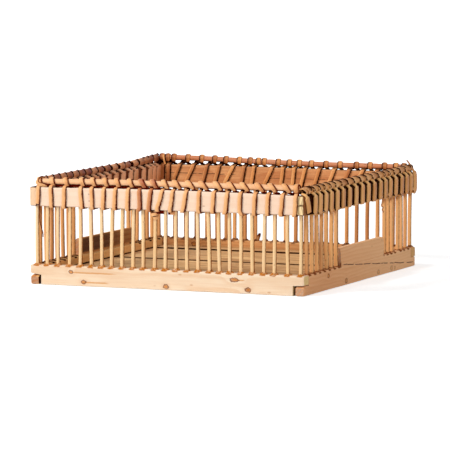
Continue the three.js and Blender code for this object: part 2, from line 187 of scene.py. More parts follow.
@dataclass
class Skin:
    """The skin of one piece while it is built."""

    points: list[Point] = field(default_factory=list)
    faces: list[tuple[int, ...]] = field(default_factory=list)

    def add(self, place: Vector, grain: Vector, *readings: float) -> int:
        """Adds a point with its tone, stain and wear, and gives its number."""
        self.points.append(Point(place, grain, *readings))
        return len(self.points) - 1

    def bridge(self, rows: Sequence[Sequence[int]], closed: bool = True) -> None:
        """Joins rows of points one after another.

        Args:
            rows: Rows with as many points each.
            closed: Whether each row is a ring.
        """
        for first, second in zip(rows, rows[1:]):
            count = len(first)
            for i in range(count if closed else count - 1):
                after = (i + 1) % count
                self.faces.append((first[i], first[after], second[after], second[i]))

    def fan(self, ring: Sequence[int], bulge: Vector) -> None:
        """Closes a ring with a low cone.

        Args:
            ring: The ring of points.
            bulge: How far the middle stands out from the ring.
        """
        points = [self.points[i] for i in ring]
        count = len(points)
        place = sum((point.place for point in points), Vector()) / count + bulge
        grain = sum((point.grain for point in points), Vector()) / count
        middle = self.add(place, grain, sum(point.tone for point in points) / count)
        self.faces += [(ring[i], ring[(i + 1) % count], middle) for i in range(count)]

    def settle(
        self, name: str, finish: bpy.types.Material, slot: Slot, node: str, sharp: float = 40,
    ) -> None:
        """Makes the piece in metres, lets it ride on the basket and stand for its CAD node.

        Args:
            name: The piece's name.
            finish: Its material.
            slot: The record's material slot; not used.
            node: The CAD node that it replaces, alone or with others.
            sharp: The angle in degrees from which an edge stays crisp.
        """
        mesh = bpy.data.meshes.new(name)
        mesh.from_pydata([point.place * MM for point in self.points], [], self.faces)
        grain = mesh.attributes.new(Reading.GRAIN.value, "FLOAT_VECTOR", "POINT")
        grain.data.foreach_set("vector", [part for point in self.points for part in point.grain])
        for reading in (Reading.TONE, Reading.STAIN, Reading.WEAR):
            values = [getattr(point, reading.value) for point in self.points]
            mesh.attributes.new(reading.value, "FLOAT", "POINT").data.foreach_set("value", values)
        work = bmesh.new()
        work.from_mesh(mesh)
        bmesh.ops.recalc_face_normals(work, faces=work.faces)
        work.to_mesh(mesh)
        work.free()
        mesh.shade_smooth()
        mesh.set_sharp_from_angle(angle=math.radians(sharp))
        mesh.materials.append(finish)
        piece = bpy.data.objects.new(name, mesh)
        bpy.context.scene.collection.objects.link(piece)
        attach(piece, "root")
        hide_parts(node)
        log.info("%s: %d faces", name, len(mesh.polygons))


# Shader nodes and finishes


@dataclass(frozen=True)
class Value:
    """What flows out of a shader node, with the usual signs for what other nodes make of it."""

    socket: bpy.types.NodeSocket

    def maths(self, operation: str, *others: "Input", limited: bool = False) -> "Value":
        """What a Math node makes of it, or a Vector Math node where it is a vector.

        Args:
            operation: What the node does.
            others: The node's other inputs.
            limited: Whether a number stays from 0 to 1.

        Returns:
            The result.
        """
        tree = self.socket.id_data
        if self.socket.type == "VECTOR":
            made = add_node(tree, "ShaderNodeVectorMath", self, *others, operation=operation)
            return Value(made.outputs["Value" if operation in {"LENGTH", "DOT_PRODUCT"} else "Vector"])
        made = add_node(tree, "ShaderNodeMath", self, *others, operation=operation, use_clamp=limited)
        return Value(made.outputs[0])

    def __add__(self, other: "Input") -> "Value":
        """The sum."""
        return self.maths("ADD", other)

    def __sub__(self, other: "Input") -> "Value":
        """The difference."""
        return self.maths("SUBTRACT", other)

    def __rsub__(self, other: float) -> "Value":
        """The difference from a plain number."""
        return self.maths("MULTIPLY_ADD", -1.0, other)

    def __mul__(self, other: "Input") -> "Value":
        """The product."""
        return self.maths("MULTIPLY", other)

    def __truediv__(self, other: "Input") -> "Value":
        """The quotient."""
        return self.maths("DIVIDE", other)

    def away_from(self, other: "Input") -> "Value":
        """How far a number is from another one."""
        return (self - other).maths("ABSOLUTE")

    def step(self, low: "Input", high: "Input", first: float = 0, last: float = 1) -> "Value":
        """A soft step from first to last, between two of its values."""
        kind = "ShaderNodeMapRange"
        return Value(add_node(
            self.socket.id_data, kind, self, low, high, first, last, interpolation_type="SMOOTHSTEP",
        ).outputs[0])

    def mix(self, first: "Input", second: "Input") -> "Value":
        """A mix of two colours, with this value as the share of the second.

        Args:
            first: The first colour.
            second: The second colour.

        Returns:
            The mixed colour.
        """
        made = add_node(self.socket.id_data, "ShaderNodeMix", self, data_type="RGBA")
        feed(made.inputs[MIX_FIRST], first)
        feed(made.inputs[MIX_SECOND], second)
        return Value(made.outputs[MIX_RESULT])

    def noise(self, scale: float = 1, detail: float = 2, rough: float = 0.55) -> "Value":
        """Soft noise from 0 to 1, read at this place."""
        made = add_node(self.socket.id_data, "ShaderNodeTexNoise")
        return Value(fill(made, Vector=self, Scale=scale, Detail=detail, Roughness=rough).outputs["Fac"])

    def parts(self) -> list["Value"]:
        """A vector's three parts."""
        return [Value(part) for part in add_node(self.socket.id_data, "ShaderNodeSeparateXYZ", self).outputs]


Input = Value | float | tuple[float, ...]


def add_node(tree: bpy.types.NodeTree, kind: str, *values: Input, **settings: object) -> bpy.types.Node:
    """Adds a shader node.

    Args:
        tree: The node tree.
        kind: The node's Blender type.
        values: Its inputs in order.
        settings: Properties to set on it.

    Returns:
        The node.
    """
    made = tree.nodes.new(kind)
    for name, value in settings.items():
        setattr(made, name, value)
    for socket, value in zip(made.inputs, values):
        feed(socket, value)
    return made


def feed(socket: bpy.types.NodeSocket, value: Input) -> None:
    """Joins a socket to a value, or sets its own.

    Args:
        socket: The input.
        value: A value, a number, a vector or a colour.
    """
    if isinstance(value, Value):
        socket.id_data.links.new(value.socket, socket)
    else:
        socket.default_value = (*value, 1.0) if socket.type == "RGBA" else value


def fill(node: bpy.types.Node, **values: Input) -> bpy.types.Node:
    """Sets some inputs of a node.

    Args:
        node: The node.
        values: The inputs by name, with underscores for spaces.

    Returns:
        The same node.
    """
    for name, value in values.items():
        feed(node.inputs[name.replace("_", " ")], value)
    return node


def gather(operation: str, values: Sequence[Value]) -> Input:
    """Many values as one, or nought where there are none."""
    return reduce(lambda one, other: one.maths(operation, other), values) if values else 0.0


class Effect:
    """A shared effect: a shader node group, built once."""

    def __init__(self, name: str, inputs: str, outputs: str) -> None:
        """Makes the empty group.

        Args:
            name: The group's name.
            inputs: The inputs, parted by spaces, each with its kind behind a colon unless it is a number.
            outputs: The outputs in the same way.
        """
        self.tree = bpy.data.node_groups.new(name, "ShaderNodeTree")
        for side, sockets in (("INPUT", inputs), ("OUTPUT", outputs)):
            for socket in sockets.split():
                label, _, kind = socket.partition(":")
                kind = f"NodeSocket{kind or 'Float'}"
                self.tree.interface.new_socket(label, in_out=side, socket_type=kind)
        given = add_node(self.tree, "NodeGroupInput").outputs
        self.given = [Value(socket) for socket in given if socket.name]
        self.end = add_node(self.tree, "NodeGroupOutput")

    def give(self, *values: Value) -> "Effect":
        """Sends values out of the group.

        Args:
            values: The outputs in order.

        Returns:
            The same effect.
        """
        for socket, value in zip(self.end.inputs, values):
            feed(socket, value)
        return self

    def use(self, *values: Input) -> list[Value]:
        """Places the effect in the first value's tree, and gives its outputs."""
        made = add_node(values[0].socket.id_data, "ShaderNodeGroup", *values, node_tree=self.tree)
        return [Value(socket) for socket in made.outputs]


def growth_rings() -> Effect:
    """Growth rings about a pith that lies outside the piece.

    Returns:
        The effect.
    """
    effect = Effect("growth rings", "Grain:Vector Pith:Vector Spacing Wander Pull", "Late")
    grain, pith, spacing, wander, pull = effect.given
    warp = ((grain * (0.011, 0.05, 0.05)).noise() - 0.5) * wander
    reach = ((grain - pith) * (0.0, 1.0, 1.0)).maths("LENGTH") + warp + pull
    turn = (reach / spacing).maths("FRACT")
    return effect.give(turn.step(0.25, 0.86) * turn.step(0.88, 1.0, 1, 0))


def wood_fibres() -> Effect:
    """Streaks and fine fibres along the grain.

    Returns:
        The effect.
    """
    effect = Effect("fibres", "Grain:Vector StreakWidth FibreWidth", "Streak Fibre")
    grain, *widths = effect.given
    results = []
    for width, length in zip(widths, (55.0, 12.0)):
        size = Value(add_node(effect.tree, "ShaderNodeCombineXYZ", length, width, width).outputs[0])
        results.append((grain / size).noise(detail=3, rough=0.6).step(0.3, 0.7))
    return effect.give(*results)


def slow_blotches() -> Effect:
    """Slow changes of colour over a piece.

    Returns:
        The effect.
    """
    effect = Effect("blotches", "Grain:Vector Size", "Patch")
    grain, size = effect.given
    return effect.give((grain * (0.35, 1.0, 1.0) / size).noise().step(0.3, 0.7))


def one_knot() -> Effect:
    """One knot, its dark rim, the way it bends the rings and its trailing streak.

    Returns:
        The effect.
    """
    effect = Effect(
        "knot", "Grain:Vector Centre:Vector Stretch:Vector Radius Trail", "Heart Rim Pull Streak",
    )
    grain, centre, stretch, radius, trail = effect.given
    wobble = grain.noise(scale=0.55)
    away = grain - centre
    reach = (away * stretch).maths("LENGTH") / radius + (wobble - 0.5) * 1.3
    along, _, up = away.parts()
    thin = (up + wobble * 0.4).maths("ABSOLUTE").step(0.15, 0.75, 1, 0)
    ahead = along / trail
    return effect.give(
        reach.step(0.45, 1.0, 1, 0),
        reach.away_from(0.95).step(0.05, 0.4, 1, 0),
        (reach * reach * -0.16).maths("EXPONENT") * (radius * 1.6),
        thin * (ahead.step(0.0, 0.06) * ahead.step(0.75, 1.0, 1, 0)),
    )


def small_specks() -> Effect:
    """Small dark specks, a little longer along the grain.

    Returns:
        The effect.
    """
    effect = Effect("specks", "Grain:Vector Pitch Share", "Speck")
    grain, pitch, share = effect.given
    cells = add_node(effect.tree, "ShaderNodeTexVoronoi")
    fill(cells, Vector=grain * (0.45, 1.0, 1.0) / pitch, Scale=1.0)
    pick = add_node(effect.tree, "ShaderNodeSeparateColor", Value(cells.outputs["Color"]))
    dot = Value(cells.outputs["Distance"]).step(0.06, 0.2, 1, 0)
    return effect.give(dot * Value(pick.outputs[0]).maths("LESS_THAN", share))


def hairline_crack() -> Effect:
    """A hairline crack that runs along the wood at a slight slope.

    Returns:
        The effect.
    """
    effect = Effect("crack", "Grain:Vector Start End Height Slope Width", "Line")
    grain, start, end, height, slope, width = effect.given
    along, _, up = grain.parts()
    bend = (grain * (0.09, 0.0, 0.0)).noise(detail=3) - 0.5
    thin = (up.away_from(bend * 1.4 + (along * slope + height)) / width).step(0.35, 1.0, 1, 0)
    within = (along - start).step(0.0, 4.0) * (end - along).step(0.0, 4.0)
    broken = (grain * (0.13, 0.0, 0.0)).noise(detail=1).step(0.36, 0.5)
    return effect.give(thin * (within * broken))


def uneven_stain_and_shade() -> Effect:
    """Dark stain and painted shade, with an uneven edge.

    Returns:
        The effect.
    """
    effect = Effect("grime", "Grain:Vector Stain", "Mask")
    grain, stain = effect.given
    level = stain + ((grain * (0.5, 0.9, 0.9)).noise(detail=3) - 0.5) * 0.8
    return effect.give(level.step(0.2, 0.85) * stain.step(0.02, 0.2))


def rubbed_edges() -> Effect:
    """Edges rubbed by hands.

    Returns:
        The effect.
    """
    effect = Effect("rubbed edges", "Grain:Vector Wear", "Mask")
    grain, wear = effect.given
    return effect.give(wear * (grain * (0.15, 0.6, 0.6)).noise(detail=3).step(0.35, 0.65))


def end_grain() -> Effect:
    """Where a face is cut across the grain.

    Returns:
        The effect.
    """
    effect = Effect("end grain", "Normal:Vector Axis:Vector", "Mask")
    normal, axis = effect.given
    return effect.give(normal.maths("DOT_PRODUCT", axis).maths("ABSOLUTE").step(0.7, 0.92))


def shading() -> Effect:
    """Turns a tone reading into a colour that is darker or lighter than the wood's own.

    Returns:
        The effect.
    """
    effect = Effect("tone", "Wood:Color Dark:Color Light:Color Tone", "Toned:Color")
    wood, dark, light, tone = effect.given
    darker = tone.maths("MULTIPLY", -1.0, limited=True).mix(wood, dark)
    return effect.give(tone.maths("MULTIPLY", 1.0, limited=True).mix(darker, light))


@dataclass(frozen=True)
class Effects:
    """The effects that several finishes share."""

    rings: Effect = field(default_factory=growth_rings)
    fibres: Effect = field(default_factory=wood_fibres)
    blotches: Effect = field(default_factory=slow_blotches)
    knot: Effect = field(default_factory=one_knot)
    specks: Effect = field(default_factory=small_specks)
    crack: Effect = field(default_factory=hairline_crack)
    grime: Effect = field(default_factory=uneven_stain_and_shade)
    rubbed: Effect = field(default_factory=rubbed_edges)
    end_grain: Effect = field(default_factory=end_grain)
    shading: Effect = field(default_factory=shading)


class Surface:
    """A material of wood or cane that is being wired."""

    def __init__(self, name: str, effects: Effects) -> None:
        """Starts the material.

        Args:
            name: Its name.
            effects: The shared effects.
        """
        self.material = bpy.data.materials.new(name)
        self.material.use_nodes = True
        self.tree = self.material.node_tree
        self.shader = self.tree.nodes["Principled BSDF"]
        self.effects = effects
        self.grain = self.reading(Reading.GRAIN)

    def reading(self, what: Reading) -> Value:
        """What the finish reads from its piece: a vector for the grain, a number for the others."""
        made = add_node(self.tree, "ShaderNodeAttribute", attribute_name=what.value)
        return Value(made.outputs["Vector" if what is Reading.GRAIN else "Fac"])

    def shaded(self, body: Value, shade: Colour, light: Colour, stain_and_shade_colour: Colour, gloss: float) -> Value:
        """Tones the wood, with painted light and shade among its tones, and lays its stains and painted
        shade.

        Args:
            body: The clean wood's colour.
            shade: The colour of dark tones.
            light: The colour of light tones.
            stain_and_shade_colour: The colour of stains and of painted shade.
            gloss: How much clean wood mirrors.

        Returns:
            The colour with its tones, stains and painted shade.
        """
        toned, = self.effects.shading.use(body, shade, light, self.reading(Reading.TONE))
        grime, = self.effects.grime.use(self.grain, self.reading(Reading.STAIN))
        fill(self.shader, Specular_IOR_Level=(1.0 - grime) * gloss)
        return grime.mix(toned, stain_and_shade_colour)

    def finished(
        self, body: Value, roughness: Value, height: Value, strength: float, depth: float,
    ) -> bpy.types.Material:
        """Joins everything to the shader.

        Args:
            body: The colour.
            roughness: The roughness.
            height: How high the surface stands.
            strength: How strongly that shows.
            depth: How deep it goes, in millimetres.

        Returns:
            The material.
        """
        bump = add_node(self.tree, "ShaderNodeBump")
        fill(bump, Strength=strength, Distance=depth * MM, Height=height)
        fill(self.shader, Base_Color=body, Roughness=roughness, Normal=Value(bump.outputs[0]))
        return self.material


@dataclass(frozen=True)
class Knot:
    """A knot in a board: its centre along, across and up, its size, and the streak behind it."""

    centre: tuple[float, float, float]
    radius: float
    stretch: float = 1.5
    trail: float = 1.0


@dataclass(frozen=True)
class Crack:
    """A crack along a board."""

    start: float
    end: float
    height: float
    slope: float = 0.0
    width: float = 0.3


@dataclass(frozen=True)
class Pine:
    """Sawn pine: growth rings, streaks, knots, cracks, stains, rubbed edges, painted light and shade."""

    name: str
    base: Colour
    late: Colour
    streak: Colour
    stain: Colour
    light: Colour
    end: Colour
    axis: Axis
    spacing: float = 1.6
    wander: float = 5.0
    pith: tuple[float, float, float] = (0.0, 26.0, -18.0)
    ring_share: float = 0.5
    streak_share: float = 0.35
    streak_width: float = 2.6
    roughness: float = 0.62
    bump: float = 0.35
    bump_depth: float = 0.25
    gloss: float = 0.2
    fibre_width: float = 0.5
    fibre_share: float = 0.22
    patch_size: float = 16.0
    specks: tuple[float, float] = (4.2, 0.22)
    speck_share: float = 0.45
    rubbed_share: float = 0.3
    knots: tuple[Knot, ...] = ()
    heart: Colour = colour(222, 142, 66)
    rim: Colour = colour(122, 62, 20)
    end_share: float = 0.5
    cracks: tuple[Crack, ...] = ()

    def build(self, effects: Effects) -> bpy.types.Material:
        """Builds the material.

        Args:
            effects: The shared effects.

        Returns:
            The material.
        """
        surface = Surface(self.name, effects)
        grain = surface.grain
        knots = [
            effects.knot.use(grain, knot.centre, (1 / knot.stretch, 0.12, 1.0), knot.radius, knot.trail)
            for knot in self.knots
        ]
        heart, rim, pull, trail = (
            gather(operation, [made[i] for made in knots])
            for i, operation in enumerate(("MAXIMUM", "MAXIMUM", "ADD", "MAXIMUM"))
        )
        rings, = effects.rings.use(grain, self.pith, self.spacing, self.wander, pull)
        streak, fibre = effects.fibres.use(grain, self.streak_width, self.fibre_width)
        patch, = effects.blotches.use(grain, self.patch_size)
        speck, = effects.specks.use(grain, *self.specks)
        body = (rings * self.ring_share).mix(self.base, self.late)
        body = (streak * self.streak_share).mix(body, self.streak)
        body = (patch * (self.streak_share * 0.7)).mix(body, self.late)
        body = (fibre * self.fibre_share).mix(body, self.light)
        body = (speck * self.speck_share).mix(body, self.stain)
        normal = Value(add_node(surface.tree, "ShaderNodeNewGeometry").outputs["Normal"])
        axis = tuple(1.0 if part == self.axis.value else 0.0 for part in range(3))
        cut, = effects.end_grain.use(normal, axis)
        body = cut.mix(body, (rings * self.end_share).mix(self.end, self.late))
        if self.knots:
            body = (trail * 0.9).mix(body, self.streak)
            body = (heart * 0.9).mix(body, self.heart)
            body = (heart * 0.12).mix(body, self.rim)
            body = (heart * (rings * 0.4)).maths("MAXIMUM", rim * 0.9).mix(body, self.rim)
        rubbed, = effects.rubbed.use(grain, surface.reading(Reading.WEAR))
        body = (rubbed * self.rubbed_share).mix(body, self.light)
        body = surface.shaded(body, self.stain, self.light, self.stain, self.gloss)
        height = rings * 0.35 + fibre * 0.5 + streak * 0.35
        if self.cracks:
            line = gather("MAXIMUM", [effects.crack.use(grain, *astuple(crack))[0] for crack in self.cracks])
            body = line.mix(body, tuple(part * 0.25 for part in self.stain))
            height = height - line * 2.0
        return surface.finished(body, fibre * 0.2 + self.roughness, height, self.bump, self.bump_depth)


@dataclass(frozen=True)
class Cane:
    """Cane and split cane: glossy bark or pale core with long fibres, specks and stains, with painted shade
    and highlights.
    """

    name: str
    base: Colour
    streak: Colour
    dark: Colour
    light: Colour
    streak_width: float = 0.5
    streak_share: float = 0.45
    patch_share: float = 0.45
    patch_size: float = 9.0
    shade: Colour = colour(150, 64, 34)
    roughness: float = 0.42
    bump: float = 0.3
    bump_depth: float = 0.12
    gloss: float = 0.22
    fibre_width: float = 0.16
    fibre_share: float = 0.25
    specks: tuple[float, float] = (2.2, 0.2)
    speck_share: float = 0.6

    def build(self, effects: Effects) -> bpy.types.Material:
        """Builds the material.

        Args:
            effects: The shared effects.

        Returns:
            The material.
        """
        surface = Surface(self.name, effects)
        grain = surface.grain
        streak, fibre = effects.fibres.use(grain, self.streak_width, self.fibre_width)
        patch, = effects.blotches.use(grain, self.patch_size)
        speck, = effects.specks.use(grain, *self.specks)
        body = (patch * self.patch_share).mix(self.base, self.light)
        body = (streak * self.streak_share).mix(body, self.streak)
        body = (fibre * self.fibre_share).mix(body, self.light)
        body = (speck * self.speck_share).mix(body, self.dark)
        body = surface.shaded(body, self.shade, self.light, self.dark, self.gloss)
        height = streak * 0.6 + fibre * 0.4
        return surface.finished(body, fibre * 0.18 + self.roughness, height, self.bump, self.bump_depth)


def seen(tree: bpy.types.NodeTree) -> Value:
    """1 for what the camera sees, straight or mirrored or through something, and 0 for light given off."""
    path = add_node(tree, "ShaderNodeLightPath")
    return gather("MAXIMUM", [
        Value(path.outputs[f"Is {kind} Ray"]) for kind in ("Camera", "Glossy", "Transmission")
    ])


@dataclass(frozen=True)
class Floor:
    """Plain pale floor that keeps the basket's shadow and is white to the camera."""

    name: str = "studio floor"
    own: Colour = (0.8, 0.8, 0.8)
    near_glow: float = 0.55
    near: float = 0.25
    far: float = 1.1

    def build(self) -> bpy.types.Material:
        """Builds the material.

        Returns:
            The material.
        """
        material = bpy.data.materials.new(self.name)
        material.use_nodes = True
        tree = material.node_tree
        place = Value(add_node(tree, "ShaderNodeTexCoord").outputs["Object"])
        glow = place.maths("LENGTH").step(self.near, self.far, self.near_glow, 1.0)
        fill(
            tree.nodes["Principled BSDF"], Base_Color=self.own, Roughness=0.9, Specular_IOR_Level=0.0,
            Emission_Color=WHITE, Emission_Strength=seen(tree) * glow,
        )
        return material


# Boards


@dataclass(frozen=True)
class Section:
    """Rounded box across a board: its reach across and up, and the radius of its corners."""

    across: tuple[float, float]
    up: tuple[float, float]
    corner: float = 0.6

    def shrunk(self, by: float) -> "Section":
        """The same section, smaller by a margin all round."""
        (left, right), (low, high) = self.across, self.up
        return Section((left + by, right - by), (low + by, high - by), self.corner)


@dataclass(frozen=True)
class Steps:
    """How finely a section is divided: along its flat sides, its upright sides and half a corner."""

    flat: int = 6
    upright: int = 9
    corner: int = 2

    @property
    def flat_points(self) -> int:
        """Points on the bottom or the top."""
        return self.flat + 2 * self.corner

    @property
    def upright_points(self) -> int:
        """Points on an upright side."""
        return self.upright + 2 * self.corner


OutlinePoint = tuple[float, float, float]


def outline(section: Section, steps: Steps) -> list[OutlinePoint]:
    """The points round a section: the bottom, the right, the top and the left side.

    Args:
        section: The rounded box.
        steps: How finely it is divided.

    Returns:
        For each point how far it lies across and up, and 1 on a corner.
    """
    (left, right), (low, high), radius = section.across, section.up, section.corner
    centres = (
        (left + radius, low + radius), (right - radius, low + radius),
        (right - radius, high - radius), (left + radius, high - radius),
    )
    turns = [math.pi / 4 * k / steps.corner for k in range(steps.corner)]
    points: list[OutlinePoint] = []
    for side, first in enumerate(centres):
        second = centres[(side + 1) % 4]
        start = math.radians(225 + 90 * side)
        facing = start + math.pi / 4
        count = steps.flat if side % 2 == 0 else steps.upright
        spots = [(*first, start + turn, 1.0) for turn in turns]
        for k in range(count):
            across, up = (between(one, other, k / count) for one, other in zip(first, second))
            spots.append((across, up, facing, 1.0 if k == 0 else 0.0))
        spots += [(*second, facing + turn, 1.0) for turn in turns]
        points += [
            (across + radius * math.cos(angle), up + radius * math.sin(angle), edge)
            for across, up, angle, edge in spots
        ]
    return points


@dataclass
class Board:
    """A sawn board that is built ring by ring along its length."""

    axis: Axis
    steps: Steps
    seed: float
    roughness: float = 0.1
    wave: float = 17
    ripple: float = 3.4
    ripple_share: float = 0.35
    skin: Skin = field(default_factory=Skin)
    rings: list[list[int]] = field(default_factory=list)

    def add_point(self, along: float, across: float, up: float, *readings: float) -> int:
        """Adds one uneven point.

        Args:
            along: How far along the board.
            across: How far across it.
            up: How high.
            readings: Its tone, stain and wear.

        Returns:
            The point's number.
        """
        place = Vector((along, across, up) if self.axis is Axis.X else (across, along, up))
        place = place + waver(place, self.wave, self.seed) * self.roughness
        place = place + waver(place, self.ripple, self.seed + 5) * self.roughness * self.ripple_share
        place.z = max(place.z, 0.0)
        return self.skin.add(place, Vector((along, across, up)), *readings)

    def ring(
        self, along: float, points: Sequence[OutlinePoint],
        look: Callable[[float, float, float], tuple[float, float]],
    ) -> None:
        """Adds a ring along an outline, where look gives a place's tone and stain."""
        self.rings.append([
            self.add_point(along, across, up, *look(along, across, up), edge) for across, up, edge in points
        ])

    def cap(self, ring: Sequence[int], depth: Callable[[float, float], float]) -> None:
        """Closes an end with a grid of faces that can have splits and worn corners.

        Args:
            ring: The ring that it closes.
            depth: How far the end is sunk at a share across and up.
        """
        flat, upright = self.steps.flat_points, self.steps.upright_points
        bottom = ring[: flat + 1]
        right = ring[flat: flat + upright + 1]
        top = ring[flat + upright: 2 * flat + upright + 1][::-1]
        left = [*ring[2 * flat + upright:], ring[0]][::-1]
        grain = {number: self.skin.points[number].grain for number in ring}
        along = grain[ring[0]].x
        inward = -1.0 if along > 0 else 1.0
        rows = [bottom]
        for j in range(1, upright):
            v = j / upright
            row = [left[j]]
            for i in range(1, flat):
                u = i / flat
                even = grain[bottom[i]] * (1 - v) + grain[top[i]] * v
                even = even + grain[left[j]] * (1 - u) + grain[right[j]] * u
                corners = grain[bottom[0]] * (1 - u) * (1 - v) + grain[bottom[-1]] * u * (1 - v)
                corners = corners + grain[top[0]] * (1 - u) * v + grain[top[-1]] * u * v
                spot = even - corners
                sunk = depth(u, v)
                stain = clamp(sunk * 0.9, 0.0, 1.0)
                row.append(self.add_point(along + inward * sunk, spot.y, spot.z, 0.0, stain))
            rows.append([*row, right[j]])
        self.skin.bridge([*rows, top], closed=False)

    def finish(self, depth: Callable[[float, float], float]) -> Skin:
        """Joins the rings and closes both ends.

        Args:
            depth: How far the ends are sunk at a share across and up.

        Returns:
            The finished skin.
        """
        self.skin.bridge(self.rings)
        for ring in (self.rings[0], self.rings[-1]):
            self.cap(ring, depth)
        return self.skin


def saw_cut(
    seed: float, splits: Sequence[float] = (), depth: float = 0.5,
) -> Callable[[float, float], float]:
    """A rough sawn end, with splits across it.

    Args:
        seed: Which roughness.
        splits: How high the splits are, as shares of the end.
        depth: How deep the splits are.

    Returns:
        A function that gives how far the end is sunk at a share across and up.
    """
    def sunk(across: float, up: float) -> float:
        """How far the end is sunk at one place.

        Args:
            across: The place's share across.
            up: Its share up.

        Returns:
            How far.
        """
        bend = noise.noise(Vector((across * 2, seed, 0))) * 0.05
        split = sum(bell(up - place - bend, 0.035) for place in splits)
        return noise.noise(Vector((across * 5, up * 7, seed))) * 0.12 + depth * split

    return sunk


# The rings of a burr: how far out, and how high as a share of its height or, below nought, in millimetres.
BURR_RINGS = ((0.0, -0.4), (1.0, -0.4), (0.9, 0.25), (0.55, 0.8), (0.15, 1.0), (0.0, 0.75))
BURR_SIDES = 18


def add_burr(skin: Skin, x: float, y: float, seed: int, height: float) -> None:
    """Adds the torn fibres that a drill raised round a spindle's hole.

    Args:
        skin: The rail's skin.
        x: The hole's place.
        y: The hole's place.
        seed: Which shape.
        height: How high the fibres stand.
    """
    draw = random.Random(seed)
    angles = [2 * math.pi * i / BURR_SIDES for i in range(BURR_SIDES)]
    ways = [(math.cos(angle), math.sin(angle)) for angle in angles]
    wide = [1.0 + 0.35 * noise.noise(Vector((c * 1.3, s * 1.3, seed * 1.7))) for c, s in ways]
    lift = [0.75 + 0.9 * noise.noise(Vector((c * 2, s * 2, seed * 3.1))) for c, s in ways]
    inner, reach = SPINDLE_RADIUS - 0.15, SPINDLE_RADIUS + draw.uniform(1.0, 1.5)
    limit = HALF_WIDTH + 0.4
    rings = []
    for share, rise in BURR_RINGS:
        ring = []
        for (c, s), width, top in zip(ways, wide, lift):
            radius = inner + (reach - inner) * share * width
            up = RAIL_HEIGHT + (max(0.25, height * top) * rise if rise > 0 else rise)
            place = Vector((clamp(x + radius * c, -limit, limit), clamp(y + radius * s, -limit, limit), up))
            ring.append(skin.add(place, place.copy(), 0.0, 0.55 + 0.3 * draw.random()))
        rings.append(ring)
    skin.bridge([*rings, rings[0]])


def scorched_top(up: float) -> float:
    """How much of the drill's scorch a height on a rail has: none low down, and all at the top."""
    return smooth(RAIL_HEIGHT - 1.5, RAIL_HEIGHT - 0.35, up)


@dataclass
class CrossRail:
    """Front or back rail: its upper half runs to the corners over the tongues of the side rails."""

    name: str
    front: bool
    spindles: Sequence[float]
    notch: tuple[float, float]
    seed: float
    burr: float
    steps: Steps = Steps(flat=6, upright=12, corner=2)
    lap_start: float = 92.0
    pitch: float = 0.8
    worn: float = 0.8
    scorch: tuple[float, float] = (1.2, 3.4)
    stub_foot: Vector = field(default_factory=lambda: Vector((-19.6, 0, 12.9)))
    stub_tip: Vector = field(default_factory=lambda: Vector((-17.7, 0, 18.6)))
    stub_radii: tuple[float, ...] = (1.35, 1.3, 1.25, 1.3, 1.2, 0.7)
    stub_stains: tuple[float, ...] = (0.5, 0.3, 0.3, 0.45, 0.8, 1.0)

    def section(self, along: float) -> Section:
        """The section at a place along the rail.

        Args:
            along: The place.

        Returns:
            The section.
        """
        outer, inner = HALF_DEPTH, HALF_DEPTH - RAIL_THICKNESS
        across = (-outer, -inner) if self.front else (inner, outer)
        beyond = abs(along) - self.lap_start
        if beyond <= 0:
            return Section(across, (0.0, RAIL_HEIGHT), 0.55)
        gap = self.notch[0] if along < 0 else self.notch[1]
        low = LAP_HEIGHT + 0.15 + gap * (beyond / (HALF_WIDTH - self.lap_start)) ** 1.3
        return Section(across, (low, RAIL_HEIGHT), 0.5)

    def look(self, along: float, across: float, up: float) -> tuple[float, float]:
        """The drill's scorch marks under the top edge.

        Args:
            along: How far along the rail.
            across: How far across it.
            up: How high.

        Returns:
            The tone and the stain.
        """
        near = min(abs(along - place) for place in self.spindles)
        top = scorched_top(up)
        spot = (1 - smooth(*self.scorch, near)) * top * (0.7 if abs(across) < SPINDLE_LINE else 1.0)
        return 0.0, max(0.85 * spot, 0.22 * top)

    def build(self) -> Skin:
        """Builds the rail with its burrs.

        Returns:
            The rail's skin.
        """
        board = Board(Axis.X, self.steps, self.seed, 0.16)
        end, lap = HALF_WIDTH, self.lap_start
        places = [-end, -end + 0.25, *spread(-end + self.worn, -lap - 0.05, 0.9)]
        mirrored = [-place for place in reversed(places)]
        for along in [*places, *spread(-lap + 0.02, lap - 0.02, self.pitch), *mirrored]:
            margin = 0.35 * smooth(end - self.worn, end, abs(along))
            board.ring(along, outline(self.section(along).shrunk(margin), self.steps), self.look)
        skin = board.finish(saw_cut(self.seed, (0.5,), 0.35))
        line = -SPINDLE_LINE if self.front else SPINDLE_LINE
        if not self.front:
            self.add_stub(skin, line)
        for i, place in enumerate(self.spindles):
            add_burr(skin, place, line, round(self.seed * 100) + i, self.burr)
        return skin

    def add_stub(self, skin: Skin, line: float) -> None:
        """Adds the stub of a cut-off cane that stands on the back rail.

        Args:
            skin: The rail's skin.
            line: The spindles' line.
        """
        last = len(self.stub_radii) - 1
        spots = [
            Spot(self.stub_foot.lerp(self.stub_tip, i / last) + Vector((0, line, 0)), X_WAY, Y_WAY)
            for i in range(last + 1)
        ]

        def section(i: int) -> list[SectionPoint]:
            """The section at one ring, with painted shade on one side."""
            return round_section(self.stub_radii[i], 12, 5.0, i, SHADED_SIDE, 0.5)

        sweep(skin, spots, section, 400.0, [-0.35] * len(spots), self.stub_stains)


